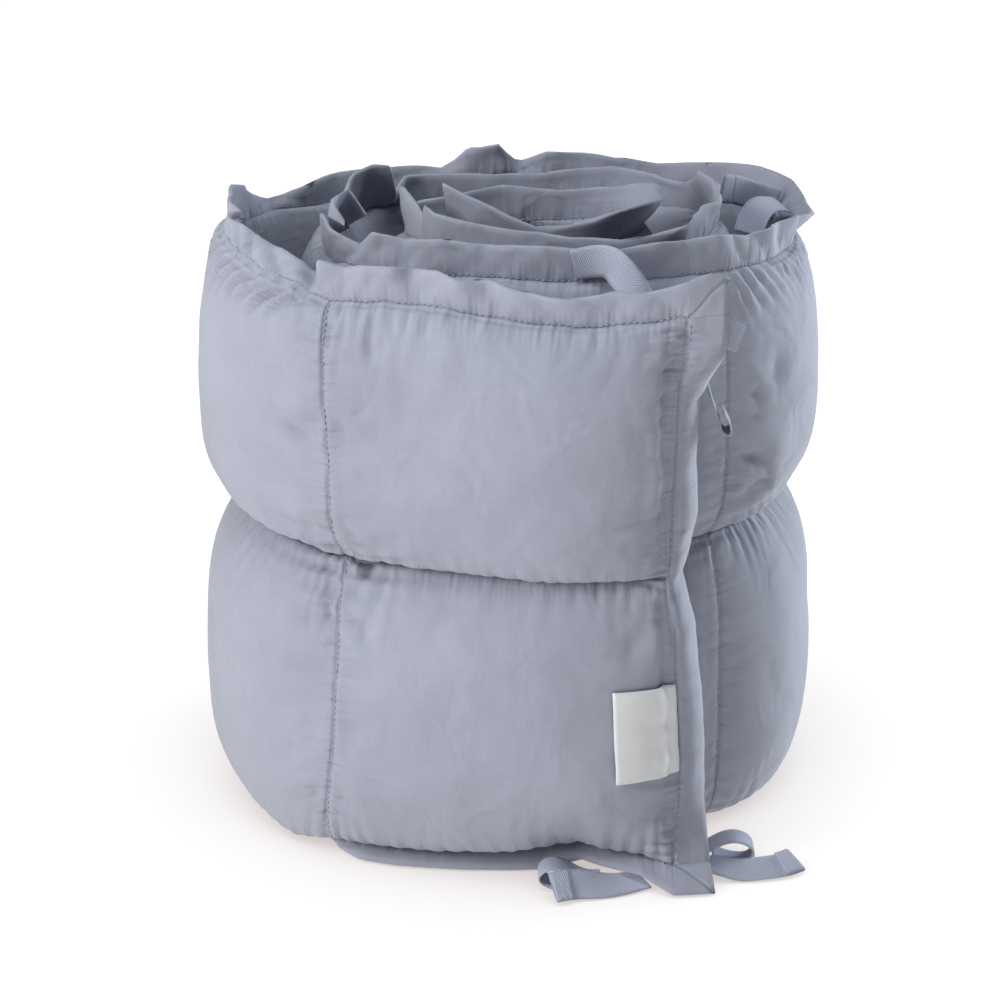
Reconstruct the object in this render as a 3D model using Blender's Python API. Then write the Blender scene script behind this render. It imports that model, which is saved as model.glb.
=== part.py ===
"""Crib bumper: a long padded and quilted strip of cotton, rolled up and standing on its long edge.

The strip is described lying flat, by a distance along it and a height up it, and is then bent onto
the roll. Metres, +Z up. The origin is on the floor, under the middle of the roll.
"""

import math

import bpy
import numpy as np
from mathutils import Vector

# The strip, measured flat.
FLANGE = 0.018  # flat unfilled border on all four edges
PANEL = 0.166  # from one upright seam to the next
PANELS = 11
STRIP = 2 * FLANGE + PANELS * PANEL
CLOTH = 0.0030  # both layers of the flange with its turned-in hem
SEAM = 0.0026  # both layers where a seam pinches them

# The filling.
CROWN_IN = 0.0180  # how far a pad swells from its seams on the side of the core
AIR = 0.0022  # between one turn and the next
SAG = (0.135, 0.10)  # how far each row is fullest below its middle, as a share of its height
OVERHANG = 0.20  # how far a pad rolls over its level seams, as a share of its swell
FLOOR_SAG = 0.75  # the same where a pad settles onto the floor over its tucked flange
END_REACH = 0.12  # how far along the strip the drawing in of its free end is felt
END_THIN = 0.88  # beside the free end the pad is only this share as full
END_FULL = 0.06  # and is full from here on
MIDDLE_REACH = 0.30  # how much of a row's height the drawing in of the middle seam is felt over
TALL_FLAT = 2.6  # up a row: higher makes a pad flatter across its middle
TALL_STEEP = 0.55  # and lower makes it steeper at its seams
WIDE_FLAT = 2.5  # the same along the strip
WIDE_STEEP = 0.75

# Heights when the roll stands.
MIDDLE_SEAM = 0.150

# The middle of the whole object's box, seen from above, in the places listed below.
MIDDLE_MM = (1.12, 1.08)

# The roll seen from above: where the middle of the strip passes, from its free end inwards.
ROLL_COLUMNS = ("across", "back")
ROLL_MM = (
    (97, -121),
    (50, -123),
    (0, -116),
    (-45, -104),
    (-82, -89),
    (-113, -62),
    (-132, -18),
    (-134, 32),
    (-124, 78),
    (-96, 111),
    (-48, 131),
    (0, 135),
    (50, 139),
    (98, 132),
    (128, 103),
    (136, 52),
    (131, -8),
    (104, -59),
    (52, -83),
    (0, -77),
    (-45, -63),
    (-75, -41),
    (-88, -4),
    (-84, 40),
    (-60, 76),
    (-8, 93),
    (45, 98),
    (84, 83),
    (99, 45),
    (92, -4),
    (65, -38),
    (20, -40),
    (-22, -30),
    (-47, -2),
    (-44, 30),
    (-12, 51),
    (30, 57),
    (61, 40),
    (54, 8),
    (18, -4),
    (-28, 16),
)

# The top edge: how far along the strip, how high, and how far it leans out of the roll.
RIM_COLUMNS = ("along", "height", "lean")
RIM_MM = (
    (0, 290, 0),
    (9, 293, 2),
    (18, 290, 3),
    (37, 284, 3),
    (50, 285, 0),
    (68, 281, 4),
    (92, 283, 2),
    (106, 287, -1),
    (120, 287, 4),
    (130, 290, 1),
    (144, 289, -3),
    (151, 291, 3),
    (166, 290, 3),
    (176, 287, -1),
    (188, 290, 2),
    (197, 279, -10),
    (206, 284, -8),
    (225, 286, -11),
    (238, 288, -8),
    (250, 287, -10),
    (265, 290, -6),
    (285, 289, -1),
    (296, 289, -7),
    (312, 291, -1),
    (336, 292, 1),
    (348, 289, -1),
    (362, 282, -1),
    (385, 272, 6),
    (398, 273, 2),
    (410, 277, -3),
    (432, 279, 3),
    (455, 280, -2),
    (474, 279, 3),
    (488, 277, 3),
    (500, 289, -3),
    (516, 291, -6),
    (526, 279, 5),
    (540, 286, -3),
    (560, 284, 3),
    (582, 282, -2),
    (600, 278, 3),
    (628, 282, -1),
    (655, 284, 4),
    (680, 282, 10),
    (706, 275, 13),
    (718, 276, 14),
    (732, 278, 12),
    (745, 282, 9),
    (760, 284, 4),
    (775, 289, 5),
    (792, 289, -2),
    (810, 292, 3),
    (828, 291, -1),
    (850, 296, 2),
    (866, 294, -3),
    (880, 296, 2),
    (900, 292, -1),
    (932, 294, 2),
    (960, 292, -2),
    (980, 294, 1),
    (1000, 291, -2),
    (1014, 294, 3),
    (1028, 284, -5),
    (1040, 290, 4),
    (1052, 294, 4),
    (1064, 292, 1),
    (1075, 281, -13),
    (1085, 293, -5),
    (1095, 297, -12),
    (1106, 280, -20),
    (1116, 286, -7),
    (1130, 295, -5),
    (1142, 299, -9),
    (1150, 297, -16),
    (1160, 280, -12),
    (1172, 287, -2),
    (1200, 285, 2),
    (1240, 284, -2),
    (1280, 287, 2),
    (1320, 283, -1),
    (1345, 292, -4),
    (1358, 298, -6),
    (1372, 294, 2),
    (1385, 290, 4),
    (1412, 293, -1),
    (1440, 290, 6),
    (1462, 286, 0),
    (1490, 288, 3),
    (1530, 291, 0),
    (1552, 294, 4),
    (1566, 297, 2),
    (1576, 284, -8),
    (1590, 298, -2),
    (1602, 300, 4),
    (1614, 284, 8),
    (1640, 286, -2),
    (1665, 288, 2),
    (1694, 285, -2),
    (1722, 288, 2),
    (1748, 296, 10),
    (1758, 292, 16),
    (1770, 294, 14),
    (1785, 290, 12),
    (1810, 281, 2),
    (1840, 292, 4),
    (1862, 300, 6),
)

# How far the stitch line under the rim lies below it: less where the flange leans over.
DROP_COLUMNS = ("along", "drop")
DROP_MM = (
    (0, 16.5),
    (188, 16.5),
    (206, 10),
    (240, 8),
    (290, 9),
    (325, 11),
    (350, 15),
    (390, 9),
    (420, 12),
    (480, 12),
    (510, 11),
    (540, 13),
    (660, 13),
    (690, 10),
    (735, 10),
    (765, 14.5),
    (790, 16.5),
    (1862, 16.5),
)

# The bottom flange: how far along, how far its stitch line is set in or out, how far its edge
# reaches outwards from there, how high the stitch line stands over the edge, and how far the edge
# lifts off the floor. It splays out under the front panel, lifts over the tie there, and is tucked
# in under the rest, where the sides of the roll draw in a little too.
FOOT_COLUMNS = ("along", "set", "reach", "rise", "lift")
FOOT_MM = (
    (0, 9, 15.9, 8.5, 0),
    (20, 7, 15.9, 8.5, 0),
    (34, -2, 15.9, 8.5, 6),
    (54, -10, 15.3, 9.5, 7),
    (62, -14, 14.2, 11, 7),
    (72, -15, 13.8, 11.6, 3),
    (80, -15, 14.2, 11, 0),
    (95, -13, 16, 8, 0),
    (120, -9, 17, 6, 0),
    (150, -5, 17.2, 5.3, 0),
    (168, -3, 15, 4.5, 0),
    (182, -1, 6, 4, 0),
    (192, 0, -4, 3, 0),
    (204, -2, -14, 1.9, 0),
    (225, -8, -12, 1.9, 0),
    (250, -13, -12, 1.9, 0),
    (320, -13, -12, 1.9, 0),
    (390, -6, -16, 1.9, 0),
    (620, -6, -16, 1.9, 0),
    (690, -12, -12, 1.9, 0),
    (790, -12, -12, 1.9, 0),
    (850, -6, -14, 1.9, 0),
    (900, 0, -17.9, 1.9, 0),
    (1720, 0, -17.9, 1.9, 0),
    (1790, 0, -6, 1.9, 0),
    (1862, 0, -6, 1.9, 0),
)

# The free end: at each height, how far the filling draws it in, and how far its flange turns back.
END_COLUMNS = ("height", "draw", "back")
END_MM = (
    (0, 3, 2),
    (8, 3, 4),
    (20, 2, 8),
    (36, 1, 11),
    (60, 0.5, 11.5),
    (85, 2.2, 11),
    (105, 3.9, 12),
    (125, 5, 13),
    (140, 8, 14),
    (148, 9, 14.6),
    (160, 7.5, 13.4),
    (178, 6.8, 11),
    (205, 5.6, 13.4),
    (232, 5.4, 12),
    (240, 5, 9),
    (248, 3.5, 4),
    (254, 1.5, 0.5),
    (262, 0.5, 0),
    (300, 0, 0),
)

# The outer turn's filling: how far along, how far a pad swells outwards, what share of that an
# upright seam is pulled out by, and how far the middle seam is drawn in.
PAD_COLUMNS = ("along", "crown", "bow", "draw")
PAD_SHARES = ("bow",)
PAD_MM = (
    (0, 21, 0.8, 0),
    (50, 21, 0.8, 4),
    (150, 21, 0.8, 6),
    (200, 18, 0.8, 8),
    (250, 14.5, 0.6, 12),
    (340, 13.5, 0.5, 13),
    (400, 16.5, 0.45, 9),
    (640, 16.5, 0.45, 6),
    (700, 15, 0.45, 12),
    (790, 14.5, 0.45, 12),
    (850, 16.5, 0.45, 6),
    (950, 16.5, 0.45, 0),
    (1862, 16.5, 0.45, 0),
)

# The upright seam between the front and the left pads wanders towards the free end: how high, how
# far, and how far along the strip it does so.
WANDER_COLUMNS = ("height", "shift")
WANDER_MM = (
    (18, 0),
    (60, 6),
    (110, 8),
    (150, 6),
    (200, 6),
    (240, 4),
    (282, 0),
)
WANDER_AT = 0.184
WANDER_REACH = 0.12

# Where a mesh has its lines, as shares of a panel and of a row: close together at the seams.
PANEL_STEPS = (0.0, 0.035, 0.10, 0.20, 0.32, 0.44, 0.56, 0.68, 0.80, 0.90, 0.965)
ROW_STEPS = (0.0, 0.06, 0.19, 0.37, 0.56, 0.76, 0.93)
CURVE_STEP = 0.002

# How the room to the next turn is found at each step of the curve.
ELSEWHERE = 0.08  # this far along the strip is another turn
CLOSEST = 0.01
BESIDE = 0.008
EASE = 10  # steps over which a change of room is eased

FOOT_WIDTH = 1.35  # the flange's edge spreads a little where it stands
FOOT_LIFTED = 0.0005  # above this its edge is off the floor
INSET_REACH = 0.36  # how far up the lower row the bottom stitch line's set is felt

# The ties: ribbed cotton tape, each strand sewn under the flange at one end.
TIE_WIDTH = 0.0145
TIE_THICK = 0.0013
TIE_HEM = 0.009
HEM_THICK = 0.0026
TIE_STEP = 0.0028
TIE_COLUMNS = ("x", "y", "z", "turn", "tilt")
TIES = (
    ("tie_top_middle", (
        (29, -86.1, 286, 80, 90),
        (38, -86.6, 288, 80, 84),
        (45, -90, 288.5, 80, 72),
        (51, -96, 284.5, 80, 58),
        (56.5, -102, 278.5, 80, 45),
        (61, -107.5, 271, 80, 32),
    ), False),
    ("tie_top_right", (
        (134.2, 80, 272.3, 90, 80),
        (125.6, 78, 276, 80, 75),
        (115, 72, 281, 60, 70),
        (106, 60, 285, 40, 70),
    ), True),
    ("tie_top_right_curl", (
        (135.3, 64, 275.7, 0, -30),
        (127, 53, 279, 0, -20),
        (120.5, 41, 277, 0, -10),
        (116.5, 31, 270, 0, 0),
    ), False),
    ("tie_end_upper", (
        (82, -117.6, 268.5, 0, 71),
        (92, -116.5, 265, 0, 71),
        (103.5, -115.5, 261, 0, 71),
    ), False),
    ("tie_end_upper_edge", (
        (86, -103.3, 251.5, 90, 0),
        (87.3, -103.3, 243.5, 90, 0),
        (89.6, -103.3, 235.5, 90, 0),
        (92.5, -103.3, 226, 90, 0),
        (95.2, -103.3, 218.5, 90, 0),
        (97.2, -103.3, 214, 90, 0),
        (99.6, -103.3, 213.5, 90, 0),
        (100.2, -103.3, 216, 90, 0),
        (98.4, -103.3, 220.5, 90, 0),
        (96.6, -103.3, 224, 90, 0),
    ), False),
    ("tie_floor_right", (
        (94, -123, 6.4, 92, 8),
        (100, -123.5, 5.2, 92, 14),
        (108, -123.5, 3.6, 92, 20),
        (118, -122.5, 3.8, 96, 20),
        (128, -120, 4.2, 104, 20),
        (135, -116, 4.6, 110, 20),
    ), True),
    ("tie_floor_right_loop", (
        (94.5, -106.9, 8, 90, 0),
        (99, -106.9, 10.8, 90, 0),
        (105, -106.8, 12.8, 90, 0),
        (111, -107.5, 12.2, 90, 0),
        (115.5, -107.8, 8, 90, 0),
        (114.5, -107.8, 3.2, 90, 0),
        (109, -107.5, 1.6, 90, 0),
        (102, -107.2, 3, 90, 0),
        (96.5, -106.9, 5.2, 90, 0),
    ), False),
    ("tie_floor_left", (
        (63, -131.5, 2.8, 80, 8),
        (56, -135.5, 3.0, 80, 10),
        (42, -141.7, 4.7, 75, 24),
        (31, -145, 6.8, 70, 38),
        (21, -149, 7.0, 65, 34),
    ), True),
    ("tie_floor_left_loop", (
        (44, -131.5, 1.4, 90, 0),
        (30, -131.5, 1.2, 90, 0),
        (19, -132, 2, 90, 0),
        (14.3, -132, 6, 90, 0),
        (17.5, -132, 10.2, 90, 0),
        (23, -132, 10.8, 90, 0),
        (29, -132, 8.2, 90, 0),
        (36, -131.7, 4.6, 90, 0),
        (43, -131.5, 4.0, 90, 0),
    ), False),
)

# The label, woven and bare, folded into the end flange's stitch line.
LABEL_WIDTH = 0.030
LABEL_THICK = 0.0010
LABEL_GAP = 0.0007
LABEL_RISE = 0.0006  # it stands a little off the pad away from the stitches
LABEL_LOW = 0.32  # where it starts and how much it takes of the lower row's height
LABEL_TALL = 0.31
LABEL_LINES = 7

COTTON = (0.42, 0.43, 0.50, 1.0)
TAPE = (0.47, 0.48, 0.55, 1.0)
LABEL = (0.80, 0.80, 0.80, 1.0)


def clear_scene():
    for obj in list(bpy.data.objects):
        bpy.data.objects.remove(obj, do_unlink=True)


def fabric(name, colour, roughness):
    material = bpy.data.materials.new(name)
    material.use_nodes = True
    shader = material.node_tree.nodes["Principled BSDF"]
    shader.inputs["Base Color"].default_value = colour
    shader.inputs["Roughness"].default_value = roughness
    shader.inputs["Metallic"].default_value = 0.0
    return material


def column(table, columns, name):
    return np.array([row[columns.index(name)] for row in table], float)


def travelled(points):
    return np.r_[0.0, np.cumsum(np.linalg.norm(np.diff(points[:, :3], axis=0), axis=1))]


def smooth_through(points, step):
    """A natural cubic curve through the rows, which open with a place, at even steps of its length."""
    chord = travelled(points)
    gap = np.diff(chord)
    count = len(points)
    matrix = np.eye(count)
    right = np.zeros(points.shape)
    for i in range(1, count - 1):
        matrix[i, i - 1 : i + 2] = gap[i - 1], 2 * (gap[i - 1] + gap[i]), gap[i]
        after = (points[i + 1] - points[i]) / gap[i]
        before = (points[i] - points[i - 1]) / gap[i - 1]
        right[i] = 3 * (after - before)
    bend = np.linalg.solve(matrix, right)
    fine = []
    for i in range(count - 1):
        slope = (points[i + 1] - points[i]) / gap[i] - gap[i] * (2 * bend[i] + bend[i + 1]) / 3
        twist = (bend[i + 1] - bend[i]) / (3 * gap[i])
        for t in np.linspace(0.0, gap[i], 24, endpoint=False):
            fine.append(points[i] + slope * t + bend[i] * t**2 + twist * t**3)
    fine = np.array(fine + [points[-1]])
    length = travelled(fine)
    even = np.linspace(0.0, length[-1], int(length[-1] / step) + 1)
    return even, np.array([np.interp(even, length, fine[:, k]) for k in range(fine.shape[1])]).T


class Roll:
    """Where the strip runs, seen from above, and how far it may swell on each side."""

    def __init__(self):
        across, back = (column(ROLL_MM, ROLL_COLUMNS, name) for name in ROLL_COLUMNS)
        points = (np.stack([across, back], axis=1) - MIDDLE_MM) / 1000
        self.along, self.line = smooth_through(points, CURVE_STEP)
        self.along *= STRIP / self.along[-1]
        ahead = np.gradient(self.line, axis=0)
        ahead /= np.linalg.norm(ahead, axis=1)[:, None]
        self.out = np.stack([-ahead[:, 1], ahead[:, 0]], axis=1)
        self.swell_out = self.swell(1, np.array([pad("crown", along) for along in self.along]))
        self.swell_in = self.swell(-1, CROWN_IN)

    def swell(self, side, crown):
        """How far the filling may swell to one side: up to its crown, or half way to the next turn."""
        room = np.full(len(self.along), 1.0)
        for i, here in enumerate(self.line):
            apart = self.line - here
            reach = apart @ self.out[i] * side
            sideways = np.abs(apart @ np.array([-self.out[i][1], self.out[i][0]]))
            other = np.abs(self.along - self.along[i]) > ELSEWHERE
            other &= (reach > CLOSEST) & (sideways < BESIDE)
            if other.any():
                room[i] = reach[other].min()
        limit = np.minimum(crown, (room - AIR) / 2)
        near = range(len(limit))
        low = np.array([limit[max(0, i - EASE) : i + EASE + 1].min() for i in near])
        even = np.ones(2 * EASE + 1) / (2 * EASE + 1)
        return np.convolve(np.pad(low, EASE, mode="edge"), even, mode="valid")

    def at(self, values, along):
        return np.interp(along, self.along, values)

    def place(self, along, outwards, height):
        x, y = (self.at(self.line[:, k], along) for k in (0, 1))
        out = Vector([self.at(self.out[:, k], along) for k in (0, 1)]).normalized()
        return Vector((x + out.x * outwards, y + out.y * outwards, height))


def rim(name, along):
    places = column(RIM_MM, RIM_COLUMNS, "along")
    return np.interp(along * 1000, places, column(RIM_MM, RIM_COLUMNS, name)) / 1000


def foot(name, along):
    places = column(FOOT_MM, FOOT_COLUMNS, "along")
    return float(np.interp(along * 1000, places, column(FOOT_MM, FOOT_COLUMNS, name))) / 1000


def lowest_stitch(along):
    return foot("rise", along) + CLOTH / 2 + foot("lift", along) / 2


def stitch_height(along):
    """The stitch line under the rim is smoother than the rim above it."""
    near = [rim("height", along + shift) for shift in (-0.03, -0.015, 0.0, 0.015, 0.03)]
    drop = np.interp(along * 1000, *(column(DROP_MM, DROP_COLUMNS, name) for name in DROP_COLUMNS))
    return sum(near) / len(near) - drop / 1000


def pad(name, along):
    places = column(PAD_MM, PAD_COLUMNS, "along")
    value = float(np.interp(along * 1000, places, column(PAD_MM, PAD_COLUMNS, name)))
    return value if name in PAD_SHARES else value / 1000


def crowned(share, flat, steep):
    """From 0 at a seam to 1 in the middle of a pad, steep at the seam."""
    return max(0.0, 1.0 - abs(2 * share - 1) ** flat) ** steep


def across_pad(along):
    return crowned(panel_share(along), WIDE_FLAT, WIDE_STEEP)


def up_pad(row, share):
    """How full a row is at a share of its height, fullest a little below its middle."""
    sagged = share ** (math.log(0.5) / math.log(0.5 - SAG[row]))
    return crowned(sagged, TALL_FLAT, TALL_STEEP)


def panel_share(along):
    """How far across its panel a place lies, or 0 on the flange at either end."""
    panels = (along - FLANGE) / PANEL
    return panels % 1.0 if 0.0 < panels < PANELS else 0.0


def bowed(roll, along, row, share):
    """An upright seam is pulled outwards beside the filling, but not where the strip ends."""
    reach = min((along - FLANGE) / PANEL, (STRIP - FLANGE - along) / PANEL, 0.5) * 2
    here = 1.0 - across_pad(along)
    swell = roll.at(roll.swell_out, along) * up_pad(row, share)
    return pad("bow", along) * swell * here * max(0.0, reach)


def end_of_strip(name, height):
    places = column(END_MM, END_COLUMNS, "height")
    return float(np.interp(height * 1000, places, column(END_MM, END_COLUMNS, name))) / 1000


def placed(roll, along, outwards, height):
    """A point on the roll, with the free end drawn in and its flange turned back."""
    heights = column(WANDER_MM, WANDER_COLUMNS, "height") / 1000
    shift = float(np.interp(height, heights, column(WANDER_MM, WANDER_COLUMNS, "shift"))) / 1000
    drawn = along + end_of_strip("draw", height) * max(0.0, 1 - along / END_REACH)
    drawn -= shift * max(0.0, 1 - abs(along - WANDER_AT) / WANDER_REACH)
    hem = max(0.0, 1 - along / FLANGE)
    back = end_of_strip("back", height)
    drawn += (FLANGE - math.sqrt(FLANGE**2 - back**2)) * hem
    return roll.place(drawn, outwards - back * hem, height)


def padded_point(roll, along, row, share, side):
    """A point of the padded part of the strip: side is 1 on the face away from the core, else -1."""
    levels = (lowest_stitch(along), MIDDLE_SEAM, stitch_height(along))
    near_end = min(1.0, max(0.0, (along - FLANGE) / (END_FULL - FLANGE)))
    room = roll.at(roll.swell_out if side > 0 else roll.swell_in, along)
    room *= END_THIN + (1 - END_THIN) * math.sin(near_end * math.pi / 2)
    swell = room * across_pad(along) * up_pad(row, share)
    settle = OVERHANG
    if row == 0 and share < 0.5 and side > 0:
        settle += (FLOOR_SAG - OVERHANG) * max(0.0, -foot("reach", along)) / FLANGE
    height = levels[row] + (levels[row + 1] - levels[row]) * share
    height -= settle * swell * math.cos(math.pi * share)
    outwards = bowed(roll, along, row, share) + side * (SEAM / 2 + swell)
    beside = max(0.0, 1 - (1 - share if row == 0 else share) / MIDDLE_REACH) ** 2
    outwards -= pad("draw", along) * beside
    if row == 0:
        outwards += foot("set", along) * max(0.0, 1 - share / INSET_REACH) ** 2
    if side < 0:
        outwards = max(outwards, -SEAM / 2 - room)
    return placed(roll, along, outwards, max(0.0, height))


def foot_point(roll, along, share, side):
    """A point of the bottom flange: share 0 at its edge and 1 at its stitch line."""
    reach, rise, lift = (foot(name, along) for name in ("reach", "rise", "lift"))
    stitch = lowest_stitch(along)
    height = stitch + (lift + CLOTH / 2 - stitch) * (1 - share)
    outwards = foot("set", along) + reach * (1 - share)
    across = side * CLOTH / 2 / math.hypot(reach, rise)
    if share == 0 and lift < FOOT_LIFTED:
        height = 0.0
        outwards += across * rise * FOOT_WIDTH
    else:
        height += across * reach
        outwards += across * rise
    return placed(roll, along, outwards, max(0.0, height))


def top_point(roll, along, share, side):
    """A point of the top flange: share 0 at its stitch line and 1 at the rim."""
    stitch = stitch_height(along)
    height = stitch + (rim("height", along) - stitch) * share
    outwards = rim("lean", along) * share + side * CLOTH / 2
    return placed(roll, along, outwards, height)


def upright_line(roll, along, side):
    """All points of one side of the strip at one place along it, from the floor up."""
    points = [foot_point(roll, along, share, side) for share in (0.0, 0.45)]
    for row in (0, 1):
        points += [padded_point(roll, along, row, share, side) for share in ROW_STEPS]
    return points + [top_point(roll, along, share, side) for share in (0.0, 0.5, 1.0)]


def places_along():
    steps = [FLANGE + PANEL * (panel + share) for panel in range(PANELS) for share in PANEL_STEPS]
    return [0.0, FLANGE / 2] + steps + [STRIP - FLANGE, STRIP - FLANGE / 2, STRIP]


def quilted_pad(roll, material):
    """Face, back, filling and flange in one closed body: two skins joined round their edge."""
    places = places_along()
    skins = [[upright_line(roll, along, side) for along in places] for side in (-1, 1)]
    tall, wide = len(skins[0][0]), len(places)
    points = [point for skin in skins for line in skin for point in line]
    return solid("quilted_pad", points, sheet_faces(wide, tall, wide * tall), material)


def solid(name, points, faces, material):
    mesh = bpy.data.meshes.new(name)
    mesh.from_pydata(points, [], faces)
    mesh.validate()
    mesh.materials.append(material)
    mesh.shade_smooth()
    obj = bpy.data.objects.new(name, mesh)
    bpy.context.scene.collection.objects.link(obj)
    return obj


def spread(turn, tilt):
    """The direction across a tape: its turn round the roll's upright and its tilt, in degrees."""
    turn, tilt = math.radians(turn), math.radians(tilt)
    return Vector((math.cos(tilt) * math.cos(turn), math.cos(tilt) * math.sin(turn), math.sin(tilt)))


def tie(name, table, material, hemmed):
    """One strand of ribbed tape along its route, its far end turned over and sewn when hemmed."""
    route = np.stack([column(table, TIE_COLUMNS, name) for name in TIE_COLUMNS], axis=1)
    route[:, :2] -= MIDDLE_MM
    route[:, :3] /= 1000
    length, path = smooth_through(route, TIE_STEP)
    lines = []
    for i, row in enumerate(path):
        ahead = Vector(path[min(i + 1, len(path) - 1)][:3] - path[max(i - 1, 0)][:3]).normalized()
        across = spread(row[3], row[4])
        across = (across - ahead * across.dot(ahead)).normalized()
        face = ahead.cross(across)
        left = length[-1] - length[i]
        thick = HEM_THICK if hemmed and left < TIE_HEM else TIE_THICK
        centre = Vector(row[:3])
        corners = ((-1, -1), (1, -1), (1, 1), (-1, 1))
        lines.append([centre + across * TIE_WIDTH / 2 * u + face * thick / 2 * v for u, v in corners])
    points = [point for line in lines for point in line]
    faces = [(3, 2, 1, 0), tuple(len(points) - 4 + k for k in range(4))]
    for i in range(len(lines) - 1):
        for k in range(4):
            a, b = 4 * i + k, 4 * i + (k + 1) % 4
            faces.append((a, b, b + 4, a + 4))
    return solid(name, points, faces, material)


def side_label(roll, material):
    """A woven label caught in the end flange's stitch line, lying over the pad's face."""
    points = []
    for lift in (LABEL_GAP, LABEL_GAP + LABEL_THICK):
        for i in range(LABEL_LINES):
            along = FLANGE + LABEL_WIDTH * i / (LABEL_LINES - 1)
            for j in range(LABEL_LINES):
                share = LABEL_LOW + LABEL_TALL * j / (LABEL_LINES - 1)
                here = padded_point(roll, along, 0, share, 1)
                beside = padded_point(roll, along + LABEL_WIDTH / 15, 0, share, 1)
                above = padded_point(roll, along, 0, share + LABEL_TALL / 15, 1)
                out = (above - here).cross(beside - here).normalized()
                points.append(here + out * (lift + LABEL_RISE * min(1.0, i / 2)))
    faces = sheet_faces(LABEL_LINES, LABEL_LINES, LABEL_LINES**2)
    return solid("side_label", points, faces, material)


def sheet_faces(wide, tall, back):
    """The faces of two skins of wide by tall points, the second starting at back, joined round the edge."""
    faces = []
    for i in range(wide - 1):
        for j in range(tall - 1):
            a = i * tall + j
            faces.append((back + a, back + a + 1, back + a + tall + 1, back + a + tall))
            faces.append((a, a + tall, a + tall + 1, a + 1))
    for i in range(wide - 1):
        low, high = i * tall, i * tall + tall - 1
        faces.append((back + low, back + low + tall, low + tall, low))
        faces.append((back + high, high, high + tall, back + high + tall))
    for j in range(tall - 1):
        end = (wide - 1) * tall + j
        faces.append((back + j, j, j + 1, back + j + 1))
        faces.append((back + end, back + end + 1, end + 1, end))
    return faces


def main():
    clear_scene()
    roll = Roll()
    cotton = fabric("cotton", COTTON, 0.9)
    tape = fabric("tape", TAPE, 0.8)
    quilted_pad(roll, cotton)
    side_label(roll, fabric("label", LABEL, 0.7))
    for name, table, hemmed in TIES:
        tie(name, table, tape, hemmed)


main()
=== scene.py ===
import math

import bpy
import numpy as np
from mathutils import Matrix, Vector, noise


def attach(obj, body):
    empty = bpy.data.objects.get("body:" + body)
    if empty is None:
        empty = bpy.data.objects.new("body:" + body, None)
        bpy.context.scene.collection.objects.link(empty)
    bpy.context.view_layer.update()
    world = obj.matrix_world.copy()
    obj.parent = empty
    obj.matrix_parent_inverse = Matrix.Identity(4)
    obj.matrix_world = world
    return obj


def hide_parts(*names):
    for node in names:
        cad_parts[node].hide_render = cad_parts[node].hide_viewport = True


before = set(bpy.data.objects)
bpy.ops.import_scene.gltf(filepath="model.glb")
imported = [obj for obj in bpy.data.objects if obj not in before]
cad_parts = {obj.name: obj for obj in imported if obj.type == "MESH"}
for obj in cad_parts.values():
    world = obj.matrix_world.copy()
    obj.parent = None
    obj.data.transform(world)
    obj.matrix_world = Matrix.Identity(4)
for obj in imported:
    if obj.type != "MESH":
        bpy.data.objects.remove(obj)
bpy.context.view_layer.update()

# ------------------------------------------------------------
# The camera: a long lens, a little above the roll and square to its front panel.
# ------------------------------------------------------------
VIEW_POINT = Vector((-0.0008, -0.0312, 0.145))
VIEW_DISTANCE = 1.5
VIEW_ABOVE = math.radians(20)
LENS = 112.2
SHIFT = (-0.009, 0.018)

camera_data = bpy.data.cameras.new("camera")
camera_data.sensor_width = 36.0
camera_data.lens = LENS
camera_data.shift_x, camera_data.shift_y = SHIFT
camera_data.clip_end = 20.0
camera = bpy.data.objects.new("camera", camera_data)
bpy.context.scene.collection.objects.link(camera)
towards = Vector((0.0, -math.cos(VIEW_ABOVE), math.sin(VIEW_ABOVE)))
camera.location = VIEW_POINT + towards * VIEW_DISTANCE
camera.rotation_euler = (math.pi / 2 - VIEW_ABOVE, 0.0, 0.0)
bpy.context.scene.camera = camera

# ------------------------------------------------------------
# The floor and the light: a white table that glows a little, so that it stays white to its far
# edge, with its glow dimmed to a warm grey close to the roll as a painted contact shadow, a tall
# lamp on the left, a cooler one low behind on the right and a wide one overhead.
# ------------------------------------------------------------
FLOOR_WHITE = (0.12, 0.12, 0.12, 1.0)
FLOOR_GLOW = 1.0
FLOOR_HALF = 15.0
FLOOR_DROP = 0.0002
# How far the painted contact shadow in the floor's glow reaches, and its warm grey.
SHADE_REACH = 0.16
SHADE_WARM = (0.60, 0.555, 0.54, 1.0)
ROOM_LIGHT = 0.10
ROOM_BLUE = (0.86, 0.92, 1.0, 1.0)
CONTRAST = 0.8
LAMPS = (
    # name, place, aimed at, width, height, watts, colour
    ("key", (-1.82, -1.18, 1.05), (0.0, 0.0, 0.15), 0.5, 1.5, 34.0, (1.0, 0.99, 0.97)),
    ("fill", (1.56, 1.09, 0.50), (0.0, 0.0, 0.15), 0.7, 0.9, 32.0, (0.88, 0.94, 1.0)),
    ("top", (-0.2, -0.7, 2.2), (0.0, 0.0, 0.2), 1.4, 1.4, 24.0, (0.92, 0.96, 1.0)),
)


def finish_of(name, colour, roughness, sheen):
    """A material with its own shader, and that shader."""
    material = bpy.data.materials.new(name)
    material.use_nodes = True
    shader = material.node_tree.nodes["Principled BSDF"]
    shader.inputs["Base Color"].default_value = colour
    shader.inputs["Roughness"].default_value = roughness
    shader.inputs["Specular IOR Level"].default_value = 0.25
    shader.inputs["Sheen Weight"].default_value = sheen
    shader.inputs["Sheen Roughness"].default_value = 0.5
    return material, shader


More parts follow.
